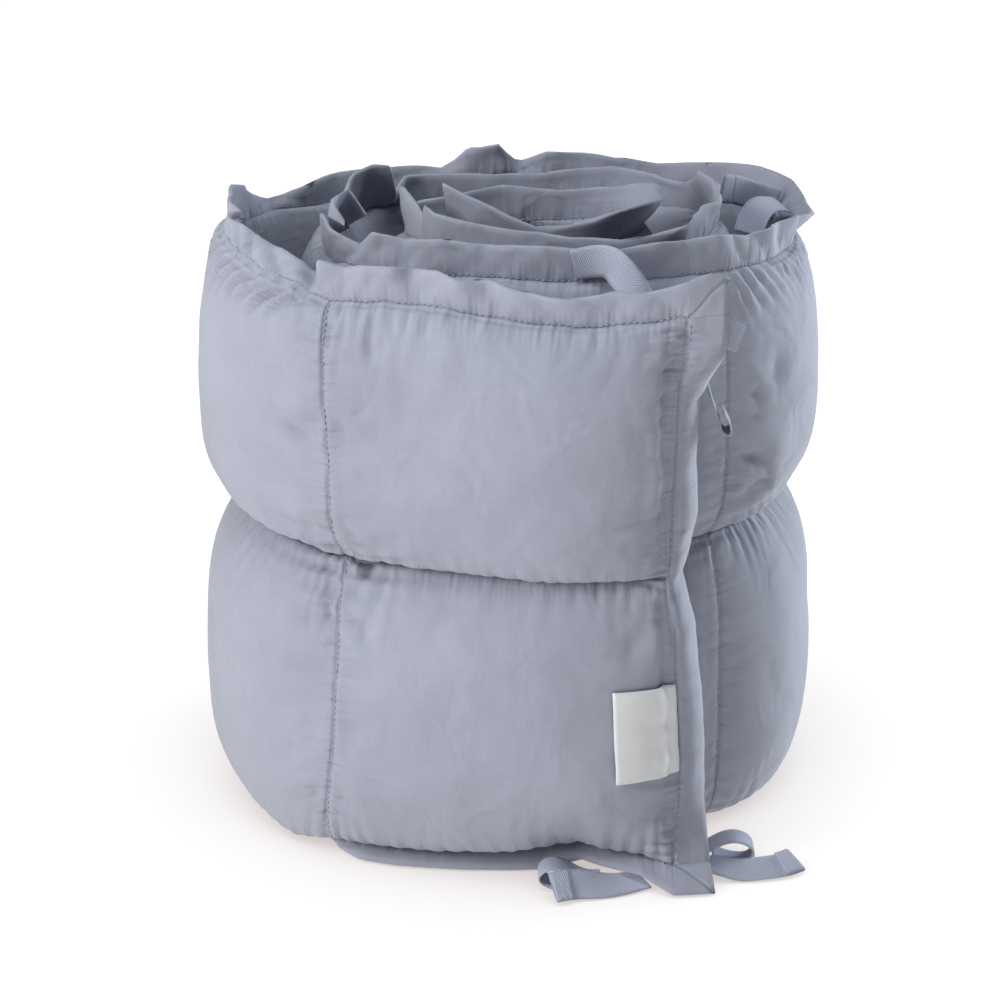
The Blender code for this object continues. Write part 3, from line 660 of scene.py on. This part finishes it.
def gathered(along, up, side):
    """How far a skin is lifted by its seams' puckers, in mm at places in mm."""
    lift = np.zeros(along.shape)
    for number, (runs, level, way, first, last, pitch, reach, height, slant) in enumerate(GATHERS_MM):
        place, apart = (along, up - level) if runs == "along" else (up, along - level)
        near = np.abs(apart) if way == 0 else np.maximum(0.0, way * apart)
        shown = between(place, first, last, pitch)
        seed = 100 + 10 * number + side
        far = near / reach * (1.0 + 0.35 * puckers(place, 3.1 * pitch, seed + 4))
        lean = place - slant * near + 0.3 * near * puckers(place, 5.3 * pitch, seed + 2)
        lift += height * shown * puckers(lean, pitch, seed) * far * np.exp(1.0 - far)
    return lift


def creased(along, up):
    """How far the outer face is lifted by its single folds, in mm at places in mm."""
    lift = np.zeros(along.shape)
    for x, z, to_x, to_z, width, height, bend in CREASES_MM:
        length = math.hypot(to_x - x, to_z - z)
        run_x, run_z = (to_x - x) / length, (to_z - z) / length
        done = ((along - x) * run_x + (up - z) * run_z) / length
        off = (up - z) * run_x - (along - x) * run_z - 4 * bend * done * (1 - done)
        faded = np.clip(1.0 - (2 * done - 1) ** 2, 0.0, 1.0) ** 0.7
        beside = (off / width) ** 2
        lift += height * faded * (1.0 - 0.55 * beside) * np.exp(-beside / 1.3)
    return lift


def uneven(along, up, side):
    """A slight unevenness of the filling, in mm at places in mm."""
    lift = np.zeros(along.shape)
    for size, height in UNEVEN_MM:
        places = zip(along.ravel() / size, up.ravel() / size)
        lumps = [noise.noise((x, z, 7.0 * side)) for x, z in places]
        lift += height * np.array(lumps).reshape(along.shape)
    return lift


def between(place, first, last, fade):
    """1 between two places and 0 outside them, fading over a length."""
    return np.clip((place - first) / fade, 0.0, 1.0) * np.clip((last - place) / fade, 0.0, 1.0)


# The filling's unevenness fades out at the borders, all relief is less at the strip's two ends,
# and none is left where the cloth rests on the floor.
PAD_FADE_MM = 6.0
END_FADE_MM = 20.0
END_RELIEF = 0.3
FLOOR_FADE = 0.006

for side in (1, -1):
    place, level = cloth_along * 1000, cloth_up * 1000
    lift = gathered(place, level, side)
    lift += uneven(place, level, side) * between(level, 18.0, 282.0, PAD_FADE_MM)
    if side > 0:
        lift += creased(place, level)
    inside = between(place, 0.0, 1862.0, END_FADE_MM)
    rests = np.clip(skins[side][:, :, 2] / FLOOR_FADE, 0.0, 1.0)
    lift *= (END_RELIEF + (1 - END_RELIEF) * inside) * rests
    skins[side] += side * facing_out(skins[side]) * lift[:, :, None] / 1000

# The border is one hemmed thickness: both skins run along it, half the cloth to each side.
HEM_THICK = 0.0019
EDGE_THICK = 0.35
border = skins[1].copy()
border_out = facing_out(border)
thickness = np.full(tall, HEM_THICK)
thickness[[0, -1]] *= EDGE_THICK
for rows in (slice(0, seam_rows[0]), slice(seam_rows[2], tall)):
    for side in (1, -1):
        away = side * border_out[:, rows] * thickness[None, rows, None] / 2
        skins[side][:, rows] = border[:, rows] + away


def shaped(name, points, faces, material, places=None):
    """A piece from its points and faces; places, where given, are its points on the flat cloth."""
    mesh = bpy.data.meshes.new(name)
    mesh.from_pydata(points.tolist(), [], faces)
    mesh.materials.append(material)
    mesh.shade_smooth()
    if places is not None:
        corner = np.empty(len(mesh.loops), np.int32)
        mesh.loops.foreach_get("vertex_index", corner)
        cloth_map = mesh.uv_layers.new(name="cloth")
        cloth_map.uv.foreach_set("vector", places[corner].astype(np.float32).ravel())
    obj = bpy.data.objects.new(name, mesh)
    bpy.context.scene.collection.objects.link(obj)
    return obj


# The inner face needs only every second line of the outer one, and five-sided faces join them.
inner_skin = skins[-1][::2]
inner_wide = len(inner_skin)
under = wide * tall
near = np.arange(tall - 1)
far, far_under = near + (wide - 1) * tall, near + (inner_wide - 1) * tall + under
low, low_under = 2 * np.arange(inner_wide - 1) * tall, np.arange(inner_wide - 1) * tall + under
high, high_under = low + tall - 1, low_under + tall - 1
faces = np.concatenate([
    one_skin(wide, tall),
    one_skin(inner_wide, tall)[:, ::-1] + under,
    np.stack([near, near + under, near + 1 + under, near + 1], axis=1),
    np.stack([far, far + 1, far_under + 1, far_under], axis=1),
]).tolist()
faces += np.stack([low, low + tall, low + 2 * tall, low_under + tall, low_under], axis=1).tolist()
faces += np.stack([high, high_under, high_under + tall, high + 2 * tall, high + tall], axis=1).tolist()
points = np.concatenate([skins[1].reshape(-1, 3), inner_skin.reshape(-1, 3)])

# The cloth: plain weave of pale blue-grey yarn with slightly thick and thin threads, matt.
COTTON = (0.415, 0.428, 0.495, 1.0)
COTTON_SHADED = (0.380, 0.392, 0.455, 1.0)
COTTON_BRIGHT = (0.452, 0.467, 0.540, 1.0)
THREAD = 0.0009
THREAD_RUN = 0.014
WEAVE_RELIEF = 0.00006
WEAVE_TONE = 0.30
PATCHES = 14.0


def joined(tree, kind, inputs=None, **settings):
    """A node with its settings, and its inputs set or joined to other nodes' sockets."""
    node = tree.nodes.new(kind)
    for name, value in settings.items():
        setattr(node, name, value)
    for name, value in (inputs or {}).items():
        if isinstance(value, bpy.types.NodeSocket):
            tree.links.new(value, node.inputs[name])
        else:
            node.inputs[name].default_value = value
    return node


def math_of(tree, operation, *values):
    """A Math node on numbers and sockets, and its result."""
    return joined(tree, "ShaderNodeMath", dict(enumerate(values)), operation=operation).outputs[0]


def woven(material, shader, across, run, relief, dark, bright):
    """Threads both ways over the cloth's own places, as colour and relief on a shader."""
    tree = material.node_tree
    place = joined(tree, "ShaderNodeUVMap", uv_map="cloth")
    threads = []
    for size in ((1 / across, 1 / run, 1.0), (1 / run, 1 / across, 1.0)):
        stretched = joined(tree, "ShaderNodeMapping", {"Vector": place.outputs["UV"], "Scale": size})
        thread = joined(
            tree,
            "ShaderNodeTexNoise",
            {"Vector": stretched.outputs["Vector"], "Scale": 1.0, "Detail": 2.0, "Roughness": 0.6},
        )
        threads.append(thread.outputs["Fac"])
    weave = math_of(tree, "ADD", *threads)
    patches = joined(
        tree,
        "ShaderNodeTexNoise",
        {"Vector": place.outputs["UV"], "Scale": PATCHES, "Detail": 3.0, "Roughness": 0.55},
    )
    blend = math_of(tree, "MULTIPLY_ADD", weave, WEAVE_TONE, patches.outputs["Fac"])
    tone = joined(tree, "ShaderNodeMapRange", {"Value": blend, "From Min": 0.5, "From Max": 1.1})
    colour = joined(
        tree, "ShaderNodeMix", {"Factor": tone.outputs["Result"], 6: dark, 7: bright}, data_type="RGBA"
    )
    tree.links.new(colour.outputs[2], shader.inputs["Base Color"])
    bump = joined(tree, "ShaderNodeBump", {"Height": weave, "Distance": relief, "Strength": 1.0})
    tree.links.new(bump.outputs["Normal"], shader.inputs["Normal"])
    return bump


cotton, cotton_shader = finish_of("cotton", COTTON, 0.92, 0.25)
weave_bump = woven(cotton, cotton_shader, THREAD, THREAD_RUN, WEAVE_RELIEF, COTTON_SHADED, COTTON_BRIGHT)

# The fine gathers that the seams make, in mm (along is beside the upright seams and up beside the
# level ones), the groove that the stitches and the corners' mitre seams lie in, and slight crumples.
FINE_GATHERS_MM = (
    # seams, the seams' spacing, how wide a gather is, how long, how far it reaches, how high
    ("along", 166, 6.5, 45, 30, 2.2),
    ("along", 166, 3.2, 20, 9, 1.6),
    ("up", 132, 4.2, 30, 16, 1.9),
)
GROOVE_WIDE = 0.0012
GROOVE_DEEP = 0.0008
CRUMPLE_SIZE = 0.020
CRUMPLE_HIGH = 0.0016
GATHERS_PAST = 0.0005


def groove_at(tree, off):
    """A soft groove along a line, at distances from it."""
    near = math_of(tree, "DIVIDE", off, GROOVE_WIDE)
    near = math_of(tree, "MULTIPLY", math_of(tree, "MULTIPLY", near, near), -1.0)
    return math_of(tree, "EXPONENT", near)


tree = cotton.node_tree
place = joined(tree, "ShaderNodeUVMap", uv_map="cloth")
apart = joined(tree, "ShaderNodeSeparateXYZ", {"Vector": place.outputs["UV"]})
from_middle = math_of(tree, "ABSOLUTE", math_of(tree, "SUBTRACT", apart.outputs["Y"], MIDDLE_SEAM))
inside = {
    "along": math_of(tree, "LESS_THAN", from_middle, ROW + GATHERS_PAST),
    "up": math_of(tree, "GREATER_THAN", apart.outputs["X"], FLANGE - GATHERS_PAST),
}
heights = []
grooved = []
for seams, spacing, size, length, reach, high in FINE_GATHERS_MM:
    across = apart.outputs["X" if seams == "along" else "Y"]
    from_seam = math_of(tree, "PINGPONG", math_of(tree, "SUBTRACT", across, FLANGE), spacing / 2000)
    faded = joined(
        tree,
        "ShaderNodeMapRange",
        {"Value": from_seam, "From Max": reach / 1000, "To Min": 1.0, "To Max": 0.0},
        interpolation_type="SMOOTHSTEP",
    )
    stretch = (1000 / length, 1000 / size, 1.0)
    if seams == "up":
        stretch = (1000 / size, 1000 / length, 1.0)
    stretched = joined(tree, "ShaderNodeMapping", {"Vector": place.outputs["UV"], "Scale": stretch})
    gather = joined(
        tree, "ShaderNodeTexNoise", {"Vector": stretched.outputs["Vector"], "Scale": 1.0, "Detail": 1.0}
    )
    strong = math_of(tree, "MULTIPLY", faded.outputs["Result"], inside[seams])
    high_here = math_of(tree, "MULTIPLY", gather.outputs["Fac"], strong)
    heights.append(math_of(tree, "MULTIPLY", high_here, high / 1000))
    if seams not in grooved:
        grooved.append(seams)
        groove = math_of(tree, "MULTIPLY", groove_at(tree, from_seam), inside[seams])
        heights.append(math_of(tree, "MULTIPLY", groove, -GROOVE_DEEP))
border = math_of(tree, "SUBTRACT", from_middle, ROW)
from_end = math_of(tree, "SUBTRACT", FLANGE, apart.outputs["X"])
mitre = groove_at(tree, math_of(tree, "SUBTRACT", border, from_end))
for past in (border, from_end):
    mitre = math_of(tree, "MULTIPLY", mitre, math_of(tree, "GREATER_THAN", past, 0.0))
heights.append(math_of(tree, "MULTIPLY", mitre, -GROOVE_DEEP))
crumple = joined(
    tree,
    "ShaderNodeTexNoise",
    {
        "Vector": place.outputs["UV"], "Scale": 1 / CRUMPLE_SIZE,
        "Detail": 2.0, "Roughness": 0.45, "Distortion": 0.6,
    },
)
heights.append(math_of(tree, "MULTIPLY", crumple.outputs["Fac"], CRUMPLE_HIGH))
total = heights[0]
for height in heights[1:]:
    total = math_of(tree, "ADD", total, height)
folds = joined(tree, "ShaderNodeBump", {"Height": total, "Distance": 1.0})
tree.links.new(folds.outputs["Normal"], weave_bump.inputs["Normal"])
places = np.stack([cloth_along, cloth_up], axis=-1)
places = np.concatenate([places.reshape(-1, 2), places[::2].reshape(-1, 2)])
strip = shaped("quilted_strip", points, faces, cotton, places)
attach(strip, "root")
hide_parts("quilted_pad")

# ------------------------------------------------------------
# The stitching: cotton thread, a stitch every 3 mm, round the border's inner line, along the
# middle and down every upright seam, on both faces.
# ------------------------------------------------------------
STITCH_STEP = 0.0030
STITCH_LONG = 0.0023
STITCH_WIDE = 0.00055
STITCH_HIGH = 0.00030
STITCH_PAST = 0.35
STITCH_AHEAD = 0.0004
STITCH_RINGS = ((0.0, 0.25, -0.5), (0.2, 1.0, 0.7), (0.8, 1.0, 0.7), (1.0, 0.25, -0.5))
THREAD_COLOUR = (0.50, 0.52, 0.63, 1.0)


def line_on(side, column, row):
    """A line on a skin with its outward direction: column or row may lie between the mesh's own."""
    skin = skins[side]
    out = facing_out(skin) * side
    picked = []
    for field in (skin, out):
        if isinstance(row, float):
            low, part = int(row), row % 1.0
            picked.append(field[column, low] * (1 - part) + field[column, low + 1] * part)
        else:
            low, part = int(column), column % 1.0
            picked.append(field[low, row] * (1 - part) + field[low + 1, row] * part)
    return picked


def stitches_along(line, out):
    """The points of a row of stitches: three to a ring, four rings to a stitch."""
    length = travelled(line)
    starts = np.arange(STITCH_STEP * 0.5, length[-1] - STITCH_STEP, STITCH_STEP)
    rings = []
    for done, size, lift in STITCH_RINGS:
        at = starts + STITCH_LONG * done
        here, on, after = (
            np.stack([np.interp(place, length, field[:, k]) for k in range(3)], axis=1)
            for place, field in ((at, line), (at, out), (at + STITCH_AHEAD, line))
        )
        ahead = after - here
        across = np.cross(ahead, on)
        across /= np.maximum(np.linalg.norm(across, axis=1, keepdims=True), 1e-12)
        centre = here + on * STITCH_HIGH * lift
        for over, up in ((-1.0, 0.0), (1.0, 0.0), (0.0, 1.0)):
            rings.append(centre + size * (across * STITCH_WIDE / 2 * over + on * STITCH_HIGH * up))
    return np.stack(rings, axis=1)


whole = slice(END_LINES, seam_columns[-1] + 1)
height = slice(seam_rows[0], seam_rows[2] + 1)
stitches = []
for side in (1, -1):
    seams = [(whole, seam_rows[2] + STITCH_PAST), (whole, seam_rows[0] - STITCH_PAST)]
    seams.append((whole, float(seam_rows[1])))
    seams += [(END_LINES - STITCH_PAST, height), (seam_columns[-1] + STITCH_PAST, height)]
    seams += [(float(column), height) for column in seam_columns[1:-1]]
    for column, row in seams:
        stitches.append(stitches_along(*line_on(side, column, row)))
stitches = np.concatenate(stitches)
first = np.arange(len(stitches))[:, None] * 12
stitch_faces = []
for ring in range(3):
    for k in range(3):
        a, b = 3 * ring + k, 3 * ring + (k + 1) % 3
        stitch_faces.append(np.array([[a, b, b + 3, a + 3]]) + first)
thread, _ = finish_of("thread", THREAD_COLOUR, 0.7, 0.1)
caps = np.concatenate([np.array([[2, 1, 0]]) + first, np.array([[9, 10, 11]]) + first])
stitch_faces = np.concatenate(stitch_faces).tolist() + caps.tolist()
stitching = shaped("stitching", stitches.reshape(-1, 3), stitch_faces, thread)
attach(stitching, "root")

# ------------------------------------------------------------
# The ties: ribbed cotton tape, 14.5 mm wide. Each strand is sewn in under the border and hangs,
# curls or lies free, and the free ends are turned over and sewn across.
# ------------------------------------------------------------
TAPE_WIDE = 0.0145
TAPE_THICK = 0.0010
TAPE_HEM = 0.009
HEM_APART = 1.1
HEM_BULGE = 0.6
TAPE_STEP = 0.0008
TAPE_LINES = 9
TAPE_COLOUR = (0.54, 0.56, 0.655, 1.0)
TAPE_DARK = (0.445, 0.465, 0.56, 1.0)
TAPE_BRIGHT = (0.62, 0.64, 0.74, 1.0)
TAPE_RIB = 0.0012
TAPE_RELIEF = 0.00022
TAPE_SLANT = math.radians(32)
TAPE_EDGE = 0.45

# Each strand's route, x, y and z in mm, with its turn round the roll's upright and its tilt in
# degrees, whether its far end is turned over, and how it lies.
TIES = (
    ("top_middle", (
        (29, -86.1, 286, 80, 90), (38, -86.6, 288, 80, 84), (45, -90, 288.5, 80, 72),
        (51, -96, 284.5, 80, 58), (56.5, -102, 278.5, 80, 45), (61, -107.5, 271, 80, 32),
    ), False, "draped"),
    ("top_right", (
        (134.2, 80, 272.3, 90, 80), (125.6, 78, 276, 80, 75), (115, 72, 281, 60, 70),
        (106, 60, 285, 40, 70),
    ), True, "draped"),
    ("top_right_curl", (
        (135.3, 64, 275.7, 0, -30), (127, 53, 279, 0, -20), (120.5, 41, 277, 0, -10),
        (116.5, 31, 270, 0, 0),
    ), False, "draped"),
    ("end_upper", (
        (82, -117.6, 268.5, 0, 71), (92, -116.5, 265, 0, 71), (103.5, -115.5, 261, 0, 71),
    ), False, "hung"),
    ("end_upper_edge", (
        (86, -103.3, 251.5, 90, 0), (87.3, -103.3, 243.5, 90, 0), (89.6, -103.3, 235.5, 90, 0),
        (92.5, -103.3, 226, 90, 0), (95.2, -103.3, 218.5, 90, 0), (97.2, -103.3, 214, 90, 0),
        (99.6, -103.3, 213.5, 90, 0), (100.2, -103.3, 216, 90, 0), (98.4, -103.3, 220.5, 90, 0),
        (96.6, -103.3, 224, 90, 0),
    ), False, "hung"),
    ("floor_right", (
        (94, -123, 6.4, 92, 8), (100, -123.5, 5.2, 92, 14), (108, -123.5, 3.6, 92, 20),
        (118, -122.5, 3.8, 96, 20), (128, -120, 4.2, 104, 20), (135, -116, 4.6, 110, 20),
    ), True, "laid"),
    ("floor_right_loop", (
        (94.5, -106.9, 8, 90, 0), (99, -106.9, 10.8, 90, 0), (105, -106.8, 12.8, 90, 0),
        (111, -107.5, 12.2, 90, 0), (115.5, -107.8, 8, 90, 0), (114.5, -107.8, 3.2, 90, 0),
        (109, -107.5, 1.6, 90, 0), (102, -107.2, 3, 90, 0), (96.5, -106.9, 5.2, 90, 0),
    ), False, "laid"),
    ("floor_left", (
        (63, -131.5, 2.8, 80, 8), (56, -135.5, 3.0, 80, 10), (42, -141.7, 4.7, 75, 24),
        (31, -145, 6.8, 70, 38), (21, -149, 7.0, 65, 34),
    ), True, "laid"),
    ("floor_left_loop", (
        (44, -131.5, 1.4, 90, 0), (30, -131.5, 1.2, 90, 0), (19, -132, 2, 90, 0),
        (14.3, -132, 6, 90, 0), (17.5, -132, 10.2, 90, 0), (23, -132, 10.8, 90, 0),
        (29, -132, 8.2, 90, 0), (36, -131.7, 4.6, 90, 0), (43, -131.5, 4.0, 90, 0),
    ), False, "laid"),
)

tape_cotton, tape_shader = finish_of("tape_cotton", TAPE_COLOUR, 0.8, 0.25)
tree = tape_cotton.node_tree
place = joined(tree, "ShaderNodeUVMap", uv_map="cloth")
turned = joined(
    tree,
    "ShaderNodeMapping",
    {"Vector": place.outputs["UV"], "Rotation": (0.0, 0.0, TAPE_SLANT), "Scale": (1 / TAPE_RIB,) * 3},
)
ribs = joined(
    tree,
    "ShaderNodeTexWave",
    {"Vector": turned.outputs["Vector"], "Scale": 0.5, "Distortion": 0.6},
)
tone = joined(
    tree, "ShaderNodeMix", {"Factor": ribs.outputs["Fac"], 6: TAPE_DARK, 7: TAPE_BRIGHT}, data_type="RGBA"
)
tree.links.new(tone.outputs[2], tape_shader.inputs["Base Color"])
relief = joined(tree, "ShaderNodeBump", {"Height": ribs.outputs["Fac"], "Distance": TAPE_RELIEF})
tree.links.new(relief.outputs["Normal"], tape_shader.inputs["Normal"])


def slab_faces(rows, lines):
    """The faces of two skins of rows by lines points, the outer one first, joined at their edges."""
    quads = one_skin(rows, lines)
    under = rows * lines
    low = np.arange(rows - 1) * lines
    high = low + lines - 1
    near = np.arange(lines - 1)
    far = near + (rows - 1) * lines
    return np.concatenate([
        quads,
        quads[:, ::-1] + under,
        np.stack([low, low + lines, low + lines + under, low + under], axis=1),
        np.stack([high, high + under, high + lines + under, high + lines], axis=1),
        np.stack([near, near + under, near + 1 + under, near + 1], axis=1),
        np.stack([far, far + 1, far + 1 + under, far + under], axis=1),
    ]).tolist()


def tape(name, table, hemmed):
    """One strand along its route; a hemmed one turns back over itself at its far end."""
    route = np.array(table, float)
    route[:, :2] -= MIDDLE_MM
    route[:, :3] /= 1000
    length, path = smooth_through(route, TAPE_STEP)
    middle = path[:, :3]
    ahead = np.gradient(middle, axis=0)
    ahead /= np.linalg.norm(ahead, axis=1, keepdims=True)
    turn, tilt = np.radians(path[:, 3]), np.radians(path[:, 4])
    across = np.stack([np.cos(tilt) * np.cos(turn), np.cos(tilt) * np.sin(turn), np.sin(tilt)], axis=1)
    across -= ahead * (across * ahead).sum(axis=1, keepdims=True)
    across /= np.linalg.norm(across, axis=1, keepdims=True)
    face = np.cross(ahead, across)
    face *= np.where(face[:, 2:] < 0, -1.0, 1.0) if hemmed else 1.0
    if hemmed:
        count = int(TAPE_HEM / TAPE_STEP)
        over = face[-1] * TAPE_THICK * HEM_APART
        half = np.linspace(0, math.pi, 7)[1:-1]
        bend = middle[-1] + np.outer(np.sin(half), ahead[-1]) * TAPE_THICK * HEM_BULGE
        bend += np.outer((1 - np.cos(half)) / 2, over)
        folded = middle[-count:][::-1] + face[-count:][::-1] * TAPE_THICK * HEM_APART
        middle = np.concatenate([middle, bend, folded])
        turned_face = [face[-1] * math.cos(angle) + ahead[-1] * math.sin(angle) for angle in half]
        face = np.concatenate([face, np.array(turned_face), -face[-count:][::-1]])
        across = np.concatenate([across, np.repeat(across[-1:], len(half), axis=0), across[-count:][::-1]])
    run = travelled(middle)
    points, spots = [], []
    widths = np.linspace(-0.5, 0.5, TAPE_LINES)
    thick = TAPE_THICK * np.where(np.abs(widths) > 0.49, TAPE_EDGE, 1.0)
    for lift in (-0.5, 0.5):
        sheet = middle[:, None] + across[:, None] * widths[None, :, None] * TAPE_WIDE
        sheet = sheet + face[:, None] * (thick * lift)[None, :, None]
        points.append(sheet.reshape(-1, 3))
        w, v = np.meshgrid(run, widths * TAPE_WIDE, indexing="ij")
        spots.append(np.stack([w, v], axis=-1).reshape(-1, 2))
    faces = slab_faces(len(middle), TAPE_LINES)
    piece = shaped(f"tape_{name}", np.concatenate(points), faces, tape_cotton, np.concatenate(spots))
    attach(piece, "root")
    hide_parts(f"tie_{name}")


for name, table, hemmed, held in TIES:
    tape(name, table, hemmed)

# ------------------------------------------------------------
# The side label: a small white woven one, left bare, caught in the end border's stitches by one
# edge and lying over the lower front pad.
# ------------------------------------------------------------
LABEL_WIDE = 0.030
LABEL_THICK = 0.0008
LABEL_GAP = 0.0007
LABEL_RISE = 0.0006
LABEL_LOW = 0.32
LABEL_TALL = 0.31
LABEL_LINES = 21
LABEL_WHITE = (0.80, 0.80, 0.80, 1.0)
LABEL_DARK = (0.74, 0.74, 0.745, 1.0)
LABEL_BRIGHT = (0.86, 0.86, 0.86, 1.0)
LABEL_THREAD = 0.0004
LABEL_RUN = 0.004
LABEL_RELIEF = 0.00004
LABEL_TUCK = 0.0004
LABEL_WAVE = 0.0004


def on_face(along, up):
    """Points of the finished outer face at places on the flat cloth, and the way out there."""
    column = np.interp(along, columns, np.arange(wide))
    row = np.interp(up, up_rows, np.arange(tall))
    i, j = column.astype(int), row.astype(int)
    u, v = (column - i)[..., None], (row - j)[..., None]
    found = []
    for field in (skins[1], facing_out(skins[1])):
        near = field[i, j] * (1 - v) + field[i, j + 1] * v
        far = field[i + 1, j] * (1 - v) + field[i + 1, j + 1] * v
        found.append(near * (1 - u) + far * u)
    return found


steps = np.linspace(0.0, 1.0, LABEL_LINES)
over, up = np.meshgrid(steps, steps, indexing="ij")
label_along = FLANGE - LABEL_TUCK + LABEL_WIDE * over
label_face, label_out = on_face(label_along, FLANGE + (LABEL_LOW + LABEL_TALL * up) * ROW)
label_rise = LABEL_GAP + LABEL_RISE * np.minimum(1.0, 4 * over)
label_rise += LABEL_WAVE * np.sin(3 * math.pi * up) * over
points = []
for lift in (0.0, LABEL_THICK):
    points.append((label_face + label_out * (label_rise + lift)[:, :, None]).reshape(-1, 3))
spots = np.stack([over * LABEL_WIDE, up * LABEL_TALL * ROW], axis=-1).reshape(-1, 2)
label_cloth, label_shader = finish_of("label_cloth", LABEL_WHITE, 0.5, 0.1)
woven(label_cloth, label_shader, LABEL_THREAD, LABEL_RUN, LABEL_RELIEF, LABEL_DARK, LABEL_BRIGHT)
faces = slab_faces(LABEL_LINES, LABEL_LINES)
label = shaped("woven_label", np.concatenate(points), faces, label_cloth, np.concatenate([spots, spots]))
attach(label, "root")
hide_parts("side_label")
